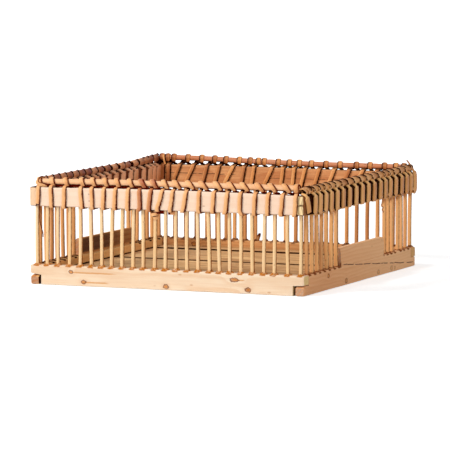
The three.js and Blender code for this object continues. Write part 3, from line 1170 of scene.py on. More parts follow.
@dataclass
class SideRail:
    """Left or right rail with its raised hand board, and tongues under the cross rails."""

    name: str
    hand: int
    seed: float
    start: float
    end: float
    height: float
    # True for the left rail: its hand board's inner face gets painted shade, and its top and inner face
    # painted light.
    shaded: bool
    steps: Steps = Steps(flat=30, upright=12, corner=2)
    shoulder: float = 91.7
    pitch: float = 1.0
    foot: float = 4.0
    crest: float = 1.9
    straight: float = 6.0
    board_share: float = 0.76
    worn: float = 0.9
    scorch: tuple[float, float] = (1.2, 3.2)

    def crown(self, share: float) -> tuple[float, float]:
        """A point on the hand board's outline, from the outer foot over the crest to the inner foot.

        Args:
            share: How far round the outline, from 0 to 1.

        Returns:
            How far the point lies in from the rail's outer face, and its height.
        """
        rise = self.height - RAIL_HEIGHT
        if share < 0.25:
            return 0.0, RAIL_HEIGHT + self.straight * share / 0.25
        if share < 0.58:
            t = (share - 0.25) / 0.33
            up = self.straight + (rise - self.straight) * (1 - (1 - t) ** 2)
            return (self.foot - self.crest) * t * t, RAIL_HEIGHT + up
        if share < 0.7:
            return self.foot - self.crest * (1 - (share - 0.58) / 0.12), self.height
        return self.foot, self.height - rise * (share - 0.7) / 0.3

    def points(self, along: float, margin: float) -> list[OutlinePoint]:
        """The outline at a place along the rail.

        Args:
            along: The place.
            margin: How much smaller the outline is there.

        Returns:
            The outline's points.
        """
        tongue = abs(along) > self.shoulder
        reach = (HALF_WIDTH - RAIL_THICKNESS, HALF_WIDTH)
        corner = 0.55
        section = Section(reach, (0.0, RAIL_HEIGHT), corner)
        if tongue:
            beyond = (abs(along) - self.shoulder) / (HALF_DEPTH - self.shoulder)
            reach = (reach[0] + 1.5 * smooth(0.0, 0.35, beyond), reach[1])
            top = LAP_HEIGHT + 0.1 - (0.75 * smooth(0.5, 1.0, beyond) if along < 0 else 0.0)
            section = Section(reach, (0.0, top), 1.0 if along < 0 else 0.5)
        points = outline(section.shrunk(margin), self.steps)
        with_board = self.start <= along <= self.end
        first = self.steps.flat_points + self.steps.upright_points + self.steps.corner
        board_steps = round(self.steps.flat * self.board_share)
        for k in range(self.steps.flat):
            _, up, edge = points[first + k]
            share = k / board_steps
            if tongue:
                span = reach[1] - reach[0] - 2.0 - 2 * margin
                across = reach[1] - 1.0 - margin - span * k / self.steps.flat
            elif k > board_steps:
                inner = HALF_WIDTH - RAIL_THICKNESS + corner
                start = HALF_WIDTH - self.foot - (0 if with_board else corner)
                across = between(start, inner, (k - board_steps) / (self.steps.flat - board_steps))
            elif with_board:
                inward, up = self.crown(share)
                across = HALF_WIDTH - inward
            else:
                across = HALF_WIDTH - corner - self.foot * share
            crest = with_board and 0.5 < share < 0.75
            points[first + k] = (across, up, 1.0 if crest else edge)
        return points

    def look(self, along: float, across: float, up: float) -> tuple[float, float]:
        """Scorch marks at the spindles, and a painted shadow along the floor. On the right rail the foot of
        the hand board's ends gets painted shade and the rail grows lighter towards the back; on the left
        rail the hand board's inner face gets painted shade and the rail's top and inner face get painted
        light.

        Args:
            along: How far along the rail.
            across: How far across it.
            up: How high.

        Returns:
            The tone and the stain.
        """
        near = min(abs(along - place) for place in SIDE_SPINDLES)
        outside = self.start - 2 > along or along > self.end + 2
        top = scorched_top(up) if outside else 0.0
        stain = max(0.9 * (1 - smooth(*self.scorch, near)) * top, 0.25 * top)
        ends = min(abs(along - self.start), abs(along - self.end))
        # Painted shade at the foot of the right hand board's ends.
        if up > RAIL_HEIGHT - 1.0 and ends < 2.0 and not self.shaded:
            stain = max(stain, 0.75 * (1 - smooth(0.2, 2.0, ends)) * (1 - smooth(14, 20, up)))
        tone = 0.0 if self.shaded else -0.1 + 0.5 * smooth(-90, 60, along)
        # Left rail: painted shade on the hand board's inner face, lighter towards its crest, and painted
        # light on the rail's top and inner face.
        if self.shaded and abs(across) < HALF_WIDTH - self.foot + 0.3 and up > RAIL_HEIGHT + 0.5:
            dark = -0.9 * smooth(self.start + 0.3, self.start + 2.0, along)
            tone = dark * (1 - 0.4 * smooth(0, self.end, along)) + 0.3 * smooth(23, self.height, up)
        elif self.shaded and abs(across) < HALF_WIDTH - self.foot:
            tone = 0.7
        # A painted shadow in the gap along the floor.
        seam = 1 - smooth(FLOOR_TOP + 0.3, FLOOR_TOP + 1.3, up) if abs(across) < HALF_WIDTH - 6 else 0.0
        return tone, max(stain, seam)

    def build(self) -> Skin:
        """Builds the rail with its burrs.

        Returns:
            The rail's skin.
        """
        board = Board(Axis.Y, self.steps, self.seed, 0.14)
        end, lap, gap, tongue_pitch = HALF_DEPTH, self.shoulder, 0.02, 1.05
        places = [-end, -end + 0.3, *spread(-end + self.worn, -lap - 0.05, tongue_pitch), -lap + gap]
        cuts = (-lap + gap, self.start, self.end, lap - gap)
        for first, second in zip(cuts, cuts[1:]):
            places += spread(first, second, self.pitch)[1:-1]
            places += [second - gap, second + gap] if second in (self.start, self.end) else [second]
        places += [*spread(lap + gap, end - self.worn, tongue_pitch), end - 0.3, end]
        for along in places:
            margin = 0.4 * smooth(end - self.worn, end, abs(along))
            ring = [(self.hand * across, up, edge) for across, up, edge in self.points(along, margin)]
            board.ring(along, ring, self.look)
        skin = board.finish(saw_cut(self.seed, (0.4,), 0.25))
        for i, place in enumerate(SIDE_SPINDLES):
            add_burr(skin, self.hand * SPINDLE_LINE, place, round(self.seed * 100) + 40 + i, 0.9)
        return skin


@dataclass
class Plank:
    """One floor plank."""

    front: float
    back: float
    lift: float
    seed: float
    steps: Steps = Steps(flat=14, upright=3, corner=2)
    half_length: float = 91.4
    pitch: float = 2.4
    cup: float = 0.12

    def build(self) -> Skin:
        """Builds the plank, a little cupped and with worn edges.

        Returns:
            The plank's skin.
        """
        board = Board(Axis.X, self.steps, self.seed)
        middle, half = (self.front + self.back) / 2, (self.back - self.front) / 2
        section = Section((self.front, self.back), (PLANK_BOTTOM, FLOOR_TOP), 0.45)
        points = []
        for across, up, edge in outline(section, self.steps):
            sunk = self.cup * ((across - middle) / half) ** 2 if up > PLANK_BOTTOM + 1 else 0.0
            points.append((across, up - sunk + self.lift, edge))
        for along in spread(-self.half_length, self.half_length, self.pitch):
            board.ring(along, points, self.look)
        return board.finish(saw_cut(self.seed))

    def look(self, along: float, across: float, up: float) -> tuple[float, float]:
        """Dark seams, painted shade along the walls, and painted light on the left part of the floor.

        Args:
            along: How far along the plank.
            across: How far across it.
            up: How high, which makes no difference.

        Returns:
            The tone and the stain.
        """
        seam = min(abs(across - self.front), abs(self.back - across))
        wall = HALF_WIDTH - RAIL_THICKNESS - abs(along)
        # Painted light on the left part of the floor.
        tone = 0.3 * (1 - smooth(-80, -10, along))
        # Dark seams, and painted shade along the walls.
        return tone, max(1 - smooth(0.3, 1.1, seam), 0.5 * (1 - smooth(0.0, 3.0, wall)))


@dataclass
class Bottom:
    """The four rails and the floor."""

    finishes: dict[str, bpy.types.Material]
    seams: tuple[tuple[float, float, float], ...] = (
        (-91.7, -50.5, 0.0), (-50.1, 13.8, 0.1), (14.1, 77.7, 0.25), (78.2, 91.7, 0.9),
    )

    def build(self) -> None:
        """Builds and settles every piece."""
        for rail, slot in (
            (CrossRail("front", True, FRONT_FEET, (1.1, 0.3), 1.3, 1.3), Slot.FRONT_PINE),
            (CrossRail("back", False, BACK_SPINDLES, (0.3, 0.0), 2.9, 1.2), Slot.SIDE_PINE),
            (SideRail("left", -1, 4.1, -32.6, 50.4, BOARD_TOP - 1.2, True), Slot.SIDE_PINE),
            (SideRail("right", 1, 5.7, -36.6, 41.4, BOARD_TOP, False), Slot.SIDE_PINE),
        ):
            finish = self.finishes[f"{rail.name} rail"]
            rail.build().settle(f"{rail.name}_rail", finish, slot, f"{rail.name}_bottom_rail")
        for i, (front, back, lift) in enumerate(self.seams):
            plank = Plank(front, back, lift, 7.3 + i * 2.1)
            plank.build().settle(
                f"plank_{i + 1:02d}", self.finishes["floor"], Slot.FLOOR_WOOD, f"floor_plank_{i + 1:02d}",
            )


# Canes


@dataclass(frozen=True)
class Spot:
    """One place on a swept cane: where it is, and the two directions across it."""

    place: Vector
    side: Vector
    out: Vector


SectionPoint = tuple[float, float, float]


def sweep(
    skin: Skin, spots: Sequence[Spot], section: Callable[[int], Sequence[SectionPoint]],
    start: float, tones: Sequence[float], stains: Sequence[float],
) -> None:
    """Sweeps a section along a course and closes both ends.

    Args:
        skin: The skin it is added to.
        spots: The places along the course.
        section: Gives the section's points at a place's number: sideways, outwards and the painted shade
            there,
        which becomes a painted highlight below nought.
        start: Where the grain starts, so that no two canes look the same.
        tones: The tone at each place.
        stains: The stain and painted shade at each place.
    """
    along = start
    rings = []
    for i, spot in enumerate(spots):
        if i:
            along += (spot.place - spots[i - 1].place).length
        ring = []
        for side, out, stain in section(i):
            place = spot.place + spot.side * side + spot.out * out
            grain = Vector((along, side + start * 0.7, out))
            # A section's values below nought lighten the tone as a painted highlight; those above are
            # painted shade.
            ring.append(skin.add(place, grain, tones[i] - min(stain, 0.0), max(stain, stains[i])))
        rings.append(ring)
    skin.bridge(rings)
    for ring, near, far in ((rings[0], spots[1], spots[0]), (rings[-1], spots[-2], spots[-1])):
        skin.fan(ring, (far.place - near.place).normalized() * 0.08)


def round_section(
    radius: float, count: int, seed: float, along: float, shaded_side: float, shade_depth: float,
) -> list[SectionPoint]:
    """A cane's section, a little out of round and with painted shade on one side.

    Args:
        radius: Its radius.
        count: How many points.
        seed: Which shape.
        along: How far along the cane.
        shaded_side: The angle in degrees of the side with painted shade.
        shade_depth: How dark the painted shade on that side is, from 0 to 1.

    Returns:
        The section's points.
    """
    points = []
    for angle in (2 * math.pi * i / count for i in range(count)):
        lump = noise.noise(Vector((math.cos(angle), math.sin(angle) + seed, along * 0.05)))
        reach = radius * (1 + 0.07 * lump)
        # Painted shade, darkest on the given side.
        dark = shade_depth * smooth(0.35, 1.0, math.cos(angle - math.radians(shaded_side)))
        points.append((reach * math.cos(angle), reach * math.sin(angle), dark))
    return points


@dataclass
class Spindle:
    """An upright cane: it leans and bows a little, and its tone changes along it."""

    x: float
    y: float
    lean: Vector
    seed: int
    tone: tuple[float, float]
    foot: float = 12.6
    head: float = 53.6
    rings: int = 22
    sides: int = 14
    # How dark the painted shade on one side of the cane is.
    dark: float = 0.62
    thickness: float = 1.0
    bow: float = 0.22
    thicknesses: tuple[float, float] = (0.96, 1.04)
    joints: tuple[float, float] = (0.25, 1.6)
    knuckle: float = 0.05
    knuckle_width: float = 0.03
    foot_stain: tuple[float, float] = (0.75, 0.07)
    head_stain: tuple[float, float] = (0.3, 0.95)

    def build(self) -> Skin:
        """Builds the spindle.

        Returns:
            The spindle's skin.
        """
        draw = random.Random(self.seed)
        bow = Vector((draw.uniform(-self.bow, self.bow), draw.uniform(-self.bow, self.bow), 0))
        radius = SPINDLE_RADIUS * (self.thickness * draw.uniform(*self.thicknesses))
        joint = draw.uniform(*self.joints)
        shares = [i / (self.rings - 1) for i in range(self.rings)]
        spots = []
        for share in shares:
            place = Vector((self.x, self.y, between(self.foot, self.head, share)))
            place = place + self.lean * (share - 0.5) + bow * (1 - (2 * share - 1) ** 2)
            spots.append(Spot(place, X_WAY, Y_WAY))

        def section(i: int) -> list[SectionPoint]:
            """The section at one ring, thicker at the cane's joint and with painted shade on one side."""
            thick = radius * (1 + self.knuckle * bell(shares[i] - joint, self.knuckle_width))
            return round_section(thick, self.sides, self.seed, i, SHADED_SIDE, self.dark)

        skin = Skin()
        tones = [between(*self.tone, share) for share in shares]
        (foot, foot_end), (head, head_start) = self.foot_stain, self.head_stain
        stains = [
            foot * (1 - smooth(0.0, foot_end, share)) + head * smooth(head_start, 1.0, share)
            for share in shares
        ]
        sweep(skin, spots, section, self.seed * 31.0, tones, stains)
        return skin


@dataclass
class Spindles:
    """The four rows of spindles."""

    finishes: dict[str, bpy.types.Material]
    pale_heads: tuple[int, ...] = (1, 3, 6, 7, 10, 13, 16, 22)
    orange_backs: tuple[int, ...] = (6, 9, 14, 17, 20, 23, 25)
    sway: float = 0.3
    side_sway: float = 0.5
    left_shift: float = 0.3

    def add(self, name: str, spindle: Spindle, finish: str, node: str) -> None:
        """Builds one spindle and lets it stand for its node."""
        spindle.build().settle(name, self.finishes[f"{finish} spindle"], Slot.SPINDLE_CANE, node)

    def side_lean(self, draw: random.Random) -> Vector:
        """How far the top of a side's spindle lies from over its foot."""
        across = draw.uniform(-self.sway, self.sway)
        return Vector((across, draw.uniform(-self.side_sway, self.side_sway), 0))

    def build(self) -> None:
        """Builds and settles every spindle."""
        draw = random.Random(11)
        last = len(BACK_SPINDLES) - 1
        for i, (foot, head) in enumerate(zip(FRONT_FEET, FRONT_HEADS)):
            lean = Vector((head - foot, draw.uniform(-self.sway, self.sway), 0))
            tones = (draw.uniform(-0.15, 0.1), 0.55 if i + 1 in self.pale_heads else 0.1)
            spindle = Spindle(
                (foot + head) / 2, -SPINDLE_LINE, lean, 100 + i, tones, dark=0.85, thickness=0.93,
            )
            self.add(f"front_cane_{i + 1:02d}", spindle, "front", f"front_spindle_{i + 1:02d}")
        for i, x in enumerate(BACK_SPINDLES):
            lean = Vector((draw.uniform(0.1, 0.7), draw.uniform(-self.sway, self.sway), 0))
            tone = 0.0 if i + 1 in self.orange_backs else draw.uniform(-0.5, -0.15)
            node = {0: "left_top_band", last: "back_right_corner_spindle"}.get(i, "back_top_band")
            spindle = Spindle(x, SPINDLE_LINE, lean, 200 + i, (tone, tone + 0.1))
            self.add(f"back_cane_{i + 1:02d}", spindle, "side", node)
        for i, y in enumerate(SIDE_SPINDLES):
            lean = self.side_lean(draw)
            tone = draw.uniform(-0.3, 0.25)
            spindle = Spindle(SPINDLE_LINE, y, lean, 300 + i, (tone - 0.1, tone + 0.1))
            self.add(f"right_cane_{i + 1:02d}", spindle, "side", f"right_spindle_{i + 1:02d}")
            lean = self.side_lean(draw)
            tone = draw.uniform(-0.35, 0.1)
            spindle = Spindle(-SPINDLE_LINE - self.left_shift, y, lean, 400 + i, (tone, tone))
            self.add(f"left_cane_{i + 1:02d}", spindle, "side", "left_top_band")


@dataclass
class Band:
    """A flat top band, with painted shadows beside the strands that cross it."""

    lacing: "Lacing"
    half_length: float
    splits: tuple[float, ...] = ()
    # How much painted shade the outer face gets between the strands.
    age: float = 0.0
    crown: float = 0.0
    crown_place: float = 0.0
    steps: Steps = Steps(flat=5, upright=12, corner=2)
    pitch: float = 0.738
    worn: float = 1.2
    split_length: float = 5.0
    split_width: float = 0.05
    pinch: float = 0.22
    crown_reach: float = 90.0

    @property
    def line(self) -> float:
        """Where the band's middle lies across its side."""
        return sum(self.lacing.side.value[1]) * SPINDLE_LINE

    def top(self, along: float) -> float:
        """The height of the band's top at a place along it."""
        return BAND_TOP + self.crown * max(0.0, 1 - ((along - self.crown_place) / self.crown_reach) ** 2)

    def look(self, along: float, across: float, up: float) -> tuple[float, float]:
        """Painted shadow beside each strand, and painted shade along the edges and over the outer face.

        Args:
            along: How far along the band.
            across: How far across the basket.
            up: How high.

        Returns:
            The tone, and the painted shade as a stain reading.
        """
        outer = abs(across) > SPINDLE_LINE
        top = self.top(along)
        # Painted shade over the outer face between the strands.
        age = self.age * (1 - 0.6 * smooth(self.half_length - 6, self.half_length - 3, abs(along)))
        # Painted shade along the lower edge, and under the rod along the top edge.
        foot = 0.5 * (1 - smooth(BAND_BOTTOM, BAND_BOTTOM + 0.9, up))
        stain = max(foot, 0.6 * smooth(top - 0.35, top - 0.05, up), age if outer else 0.0)
        share = (up - BAND_BOTTOM) / (BAND_TOP - BAND_BOTTOM)
        half = self.lacing.width / 2
        # Painted shadow beside each strand, darker on one side of it.
        for low, high in self.lacing.outer_marks if outer else self.lacing.inner_marks:
            off = along - low - (high - low) * share
            if abs(off) < half + 1:
                stain = max(stain, (1.0 if off > 0 else 0.3) * (1 - smooth(-0.2, 0.6, abs(off) - half)))
        return 0.0, stain

    def build(self) -> Skin:
        """Builds the band.

        Returns:
            The band's skin.
        """
        side = self.lacing.side
        seed = 3.1 + 2.3 * len(side.name) + self.half_length
        board = Board(Axis.X if side.across else Axis.Y, self.steps, seed, 0.13)
        line, half, end = self.line, BAND_THICKNESS / 2, self.half_length
        ends = [-end, -end + 0.35, -end + 1.0]
        middle = spread(-end + 1.6, end - 1.6, self.pitch)
        for along in [*ends, *middle, *(-place for place in reversed(ends))]:
            margin = 0.4 * smooth(end - self.worn, end, abs(along)) ** 2
            section = Section((line - half, line + half), (BAND_BOTTOM, self.top(along)), 0.7)
            tip = smooth(end - self.split_length, end, abs(along)) * self.pinch
            points = []
            for across, up, edge in outline(section.shrunk(margin), self.steps):
                share = (up - BAND_BOTTOM) / (BAND_TOP - BAND_BOTTOM)
                pinch = sum(bell(share - place, self.split_width) for place in self.splits)
                points.append((across + (line - across) * pinch * tip, up, edge))
            board.ring(along, points, self.look)
        return board.finish(saw_cut(seed, self.splits, 0.9))


@dataclass(frozen=True)
class Rod:
    """A rim rod: a thin cane that isn't quite straight or level, with joints."""

    start: float
    end: float
    low: float
    high: float
    rise: tuple[float, float]
    radius: float
    seed: int
    joints: tuple[float, ...]
    # How much painted shade the whole rod gets; on the side rods it shows dark between the wraps.
    grime: float = 0.0
    pitch: float = 2.0
    sides: int = 16
    wave: float = 60.0
    bow: float = 0.3
    knuckle: float = 0.09
    knuckle_width: float = 1.6
    taper: float = 0.22
    taper_length: float = 1.2

    def height(self, along: float) -> float:
        """The height of the rod's centre at a place along it."""
        return between(self.low, self.high, smooth(*self.rise, along))

    def build(self, side: "Side") -> Skin:
        """Builds the rod.

        Args:
            side: The side of the basket that it lies on.

        Returns:
            The rod's skin.
        """
        line = sum(side.value[1]) * SPINDLE_LINE
        spots, reach = [], []
        for along in spread(self.start, self.end, self.pitch):
            drift = waver(Vector((along, 0, 0)), self.wave, self.seed) * self.bow
            off, up = line + drift.y, self.height(along) + drift.z * 0.5
            place = Vector((along, off, up) if side.across else (off, along, up))
            spots.append(Spot(place, Y_WAY if side.across else X_WAY, Z_WAY))
            knuckle = sum(self.knuckle * bell(along - joint, self.knuckle_width) for joint in self.joints)
            inside = min(along - self.start, self.end - along)
            tip = 1 - self.taper * (1 - smooth(0.0, self.taper_length, inside))
            reach.append(self.radius * (1 + knuckle) * tip)

        def section(i: int) -> list[SectionPoint]:
            """The section at one ring, with painted shade on its underside."""
            return round_section(reach[i], self.sides, self.seed, i * self.pitch, -90.0, 1.0)

        skin = Skin()
        sweep(skin, spots, section, self.seed * 17.0, [0.0] * len(spots), [self.grime] * len(spots))
        return skin


FRONT_ROD = Rod(-93.8, 95.6, 69.35, 70.2, (-82.0, -45.0), 2.05, 21, (-31.0, 62.0))
BACK_ROD = Rod(-95.5, 93.4, 70.9, 69.1, (-88.0, 34.0), 1.9, 22, (-8.0, 71.0))
# The side rods lie in painted shade all over, dark between their wraps.
LEFT_ROD = Rod(-88.4, 99.0, 68.75, 70.5, (46.0, 96.0), 1.3, 23, (10.0,), grime=1.0)
RIGHT_ROD = Rod(-97.0, 93.0, 68.1, 68.8, (60.0, 90.0), 1.3, 24, (-20.0,), grime=1.0)


# Lacing


class Side(Enum):
    """A side of the basket: the way that its strand advances, and the way out."""

    FRONT = ((1, 0), (0, -1))
    BACK = ((-1, 0), (0, 1))
    RIGHT = ((0, 1), (1, 0))
    LEFT = ((0, 1), (-1, 0))

    @property
    def across(self) -> bool:
        """Whether the side runs from left to right."""
        return self in (Side.FRONT, Side.BACK)

    @property
    def axis(self) -> Vector:
        """The basket's own axis along the side."""
        return X_WAY if self.across else Y_WAY

    def at(self, along: float, out: float, up: float) -> Vector:
        """A place along the side's axis, so far outside the spindle line and so high."""
        return self.axis * along + Vector((*self.value[1], 0)) * (SPINDLE_LINE + out) + Z_WAY * up


@dataclass(frozen=True)
class Turn:
    """One turn of the strand: where it crosses the band outside and inside, its tone and its wraps."""

    foot: float
    top: float
    tone: float = 0.0
    drift: float = 3.0
    inner: tuple[float, float] | None = None
    wraps: int = 1


@dataclass(frozen=True)
class Corner:
    """A corner of a strand's course, and how the strand looks and is shaped there.

    Its edge is the share of the width that gets painted shade, on the far side, or on the near side below
    nought; the other side gets a painted highlight.
    Its lens says how much thinner the strand is at its edges than in its middle.
    """

    place: Vector
    tone: float = 0.0
    stain: float = 0.0
    bend: float = BEND
    thickness: float = LACE_THICKNESS
    width: float = 1.0
    edge: float = 0.17
    lens: float = 0.0


def rounded(corners: Sequence[Corner], cuts: int = 3) -> list[Corner]:
    """Rounds the corners of a course.

    Args:
        corners: The corners.
        cuts: How many pieces a bend has.

    Returns:
        The points of the rounded course.
    """
    course = [corners[0]]
    for before, corner, after in zip(corners, corners[1:], corners[2:]):
        back, ahead = before.place - corner.place, after.place - corner.place
        start = corner.place + back.normalized() * min(corner.bend, back.length * 0.47)
        stop = corner.place + ahead.normalized() * min(corner.bend, ahead.length * 0.47)
        for t in (k / cuts for k in range(cuts + 1)):
            place = start * (1 - t) ** 2 + corner.place * 2 * t * (1 - t) + stop * t * t
            course.append(replace(corner, place=place))
    return [*course, corners[-1]]


# A strand's section as shares of its width and thickness.
STRAND_SECTION = (
    (-0.5, -0.2), (-0.5, 0.2), (-0.42, 0.38), (-0.3, 0.46), (0.0, 0.5), (0.3, 0.46), (0.42, 0.38),
    (0.5, 0.2), (0.5, -0.2), (0.42, -0.38), (0.3, -0.46), (0.0, -0.5), (-0.3, -0.46), (-0.42, -0.38),
)


@dataclass
class Strand:
    """A flat strand of split cane."""

    corners: Sequence[Corner]
    width_axis: Vector
    seed: int
    width: float = LACE_WIDTH

    def add_to(self, skin: Skin) -> None:
        """Adds the strand to a skin.

        Args:
            skin: The skin.
        """
        course = rounded(self.corners)
        spots = []
        for before, corner, after in zip([course[0], *course], course, [*course[1:], course[-1]]):
            heading = (after.place - before.place).normalized()
            side = (self.width_axis - heading * self.width_axis.dot(heading) * 0.75).normalized()
            spots.append(Spot(corner.place, side, side.cross(heading).normalized()))

        def section(i: int) -> list[SectionPoint]:
            """The section at one place, a little wider and narrower along the strand, with painted shade
            towards one edge and a painted highlight at the other.

            Args:
                i: The place's number.

            Returns:
                The section's points.
            """
            corner = course[i]
            width = self.width * corner.width * (1 + 0.07 * noise.noise(Vector((i * 0.11, self.seed, 0))))
            points = []
            for side, out in STRAND_SECTION:
                # Painted shade grows towards the shaded edge, and the other edge gets a painted highlight.
                far = side * math.copysign(1.0, corner.edge)
                stain = max(smooth(0.5 - abs(corner.edge), 0.5, far), 0.48 * smooth(-0.15, 0.45, far))
                stain -= 0.5 * smooth(0.1, 0.5, -far)
                thick = corner.thickness * (1 - corner.lens * 4 * side * side)
                points.append((side * width, out * thick, stain))
            return points

        tones, stains = [corner.tone for corner in course], [corner.stain for corner in course]
        sweep(skin, spots, section, self.seed * 43.0, tones, stains)


@dataclass
class Lacing:
    """The strand that ties a rod to its band in figures of eight."""

    side: Side
    turns: Sequence[Turn]
    spindles: Sequence[float]
    limit: float
    seed: int
    rod: Rod
    strip: float = 1.3
    width: float = LACE_WIDTH
    wrap_width: float = 1.0
    # The share of a wrap's width that gets painted shade; below nought on the near side.
    wrap_shade_edge: float = 0.34
    wrap_tone: float = 0.0
    wrap_thickness: float = LACE_THICKNESS
    lens: float = 0.0
    top_lean: float = 0.0
    top_width: float = 1.0
    hook_lean: float = 0.0
    hook_width: float = 1.0
    # How much lighter the hook at a strip's top is: a painted highlight.
    hook_highlight: float = 0.0
    # The painted shade where the hook passes under the rod.
    hook_shade: float = 0.6
    ending: Sequence[Corner] = ()
    loose: Sequence[Strand] = ()
    angles: tuple[int, ...] = (205, 165, 125, 85, 45, 5, -35, -95)
    # The angle round the rod at which a wrap gets painted shade underneath.
    shaded_angle: int = -35
    advance: tuple[float, float] = (2.4, 6.4)
    lag: float = 0.3
    widest_pass: float = 4.1
    clearance: float = 0.1
    rod_clearance: float = 0.05
    sag: float = 0.6
    sway: float = 0.25

    @property
    def way(self) -> int:
        """1 where the strand advances with the axis, and -1 where it comes back."""
        return sum(self.side.value[0])

    @property
    def outer_marks(self) -> list[tuple[float, float]]:
        """Where the strand crosses the band's outer face, at the bottom and at the top."""
        return [(turn.foot, turn.top) for turn in self.turns]

    @cached_property
    def inner_marks(self) -> list[tuple[float, float]]:
        """Where the strand crosses the band's inner face, at the bottom and at the top.

        Returns:
            The two places of each turn.
        """
        marks = []
        for turn, after in zip(self.turns, [*self.turns[1:], None]):
            if turn.inner:
                marks.append(turn.inner)
            elif after:
                reach = turn.drift + self.lag + LOOP_PITCH * (turn.wraps - 1)
                marks.append((self.clear(after.foot) - self.way * 0.4, turn.top + self.way * reach))
        return marks

    def clear(self, place: float) -> float:
        """The nearest place where the strand fits between two spindles.

        Args:
            place: Where it would like to pass.

        Returns:
            Where it passes.
        """
        room = SPINDLE_RADIUS + min(self.width, self.widest_pass) / 2 + self.clearance
        gaps = [(first + room, second - room) for first, second in zip(self.spindles, self.spindles[1:])]
        found = [clamp(place, low, high) for low, high in gaps if low <= high]
        return clamp(min(found, key=lambda value: abs(value - place)), -self.limit, self.limit)

    def wrap(self, turn: Turn) -> list[Corner]:
        """The corners of one turn round the rod, once or several times.

        Args:
            turn: The turn.

        Returns:
            The corners.
        """
        corners = []
        for loop in range(turn.wraps):
            for k, angle in enumerate(self.angles if loop < turn.wraps - 1 else self.angles[:-1]):
                across, rise = math.cos(math.radians(angle)), math.sin(math.radians(angle))
                thickness = self.wrap_thickness - (self.wrap_thickness - LACE_THICKNESS) * max(0.0, -rise)
                on_rod = self.rod.radius + self.rod_clearance + thickness / 2
                drift = (turn.drift + self.lag) * smooth(*self.advance, k) - self.lag + LOOP_PITCH * loop
                place = turn.top + self.way * drift
                # Each wrap gets painted shade underneath, at the shaded angle, and along one edge.
                corners.append(Corner(
                    self.side.at(place, on_rod * across, self.rod.height(place) + on_rod * rise),
                    turn.tone + self.wrap_tone, 0.25 if angle == self.shaded_angle else 0.0, BEND,
                    thickness, self.wrap_width, self.wrap_shade_edge, self.lens,
                ))
        return corners

    def course(self) -> list[Corner]:
        """The strand's corners, before they are rounded.

        Returns:
            The corners.
        """
        corners: list[Corner] = []
        under = BAND_BOTTOM - 0.15 - LACE_THICKNESS / 2
        on_band = BAND_THICKNESS / 2 + self.clearance + self.strip / 2
        draw = random.Random(self.seed)
        inner, way = self.inner_marks, self.way
        hook_way, hook = way * self.hook_lean, (self.strip, self.hook_width)

        def add(
            tone: float, along: float, out: float, up: float, stain: float = 0.0,
            thickness: float = self.strip, width: float = 1.0, bend: float = BEND,
        ) -> None:
            """Adds one corner."""
            corners.append(Corner(self.side.at(along, out, up), tone, stain, bend, thickness, width))

        for i, turn in enumerate(self.turns):
            tone, hook_highlight = turn.tone, turn.tone + self.hook_highlight
            low = under - draw.uniform(0.0, self.sag)
            if i:
                pass_under = self.clear(turn.foot)
                # Where the strand passes under the band it gets painted shade.
                add(tone, self.clear(inner[i - 1][0]), -on_band, under, 0.4, LACE_THICKNESS)
                add(tone, pass_under, on_band * 0.55, under, 0.3, LACE_THICKNESS)
                halfway = (pass_under + turn.foot) / 2
                add(tone, halfway, on_band + self.clearance, low, 0.0, LACE_THICKNESS)
            add(tone, turn.foot, on_band, BAND_BOTTOM + 1.6)
            middle = (turn.foot + turn.top) / 2 + draw.uniform(-self.sway, self.sway)
            add(tone, middle, on_band, (BAND_BOTTOM + BAND_TOP) / 2)
            if i + 1 == len(self.turns) and self.ending:
                return [*corners, *self.ending]
            over_tone = tone
            # A leaning strip's top takes the hook's painted highlight.
            if self.top_lean:
                add(tone, turn.top - way * self.top_lean * 0.1, on_band, BAND_TOP - 2.4)
                over_tone = hook_highlight
            over = turn.top - way * self.top_lean
            add(over_tone, over, on_band, BAND_TOP + 0.5, width=self.top_width, bend=3 * BEND)
            # Painted shade where the strand passes under the rod.
            add(tone, over, -1.3, BAND_TOP + 1.6, 1.0, LACE_THICKNESS, self.top_width)
            corners += self.wrap(turn)
            if i < len(inner):
                bottom, top = inner[i]
                # Painted shade in the gap under the rod, then the hook with its painted highlight.
                add(tone, top - hook_way - way * 0.2, 0.9, BAND_TOP + 1.25, 1.0, *hook)
                add(hook_highlight, top - hook_way, -1.9, BAND_TOP + 1.05, self.hook_shade, *hook)
                if self.hook_lean:
                    bent = top - hook_way * 0.35
                    add(hook_highlight, bent, -on_band * 0.95, BAND_TOP - 0.3, 0.0, *hook, bend=0.5 * BEND)
                add(hook_highlight, top, -on_band, BAND_TOP - 0.2 - 0.4 * self.hook_lean, bend=0.5)
                add(tone, bottom, -on_band, BAND_BOTTOM + 1.2)
        if len(inner) == len(self.turns):
            # Painted shade where the strand ends under the band.
            add(tone, inner[-1][0], -on_band * 0.6, under, 0.6, LACE_THICKNESS)
        return corners

    def build(self) -> Skin:
        """Builds the strand and its loose ends.

        Returns:
            Their skin.
        """
        skin = Skin()
        for strand in (Strand(self.course(), self.side.axis, self.seed, self.width), *self.loose):
            strand.add_to(skin)
        return skin


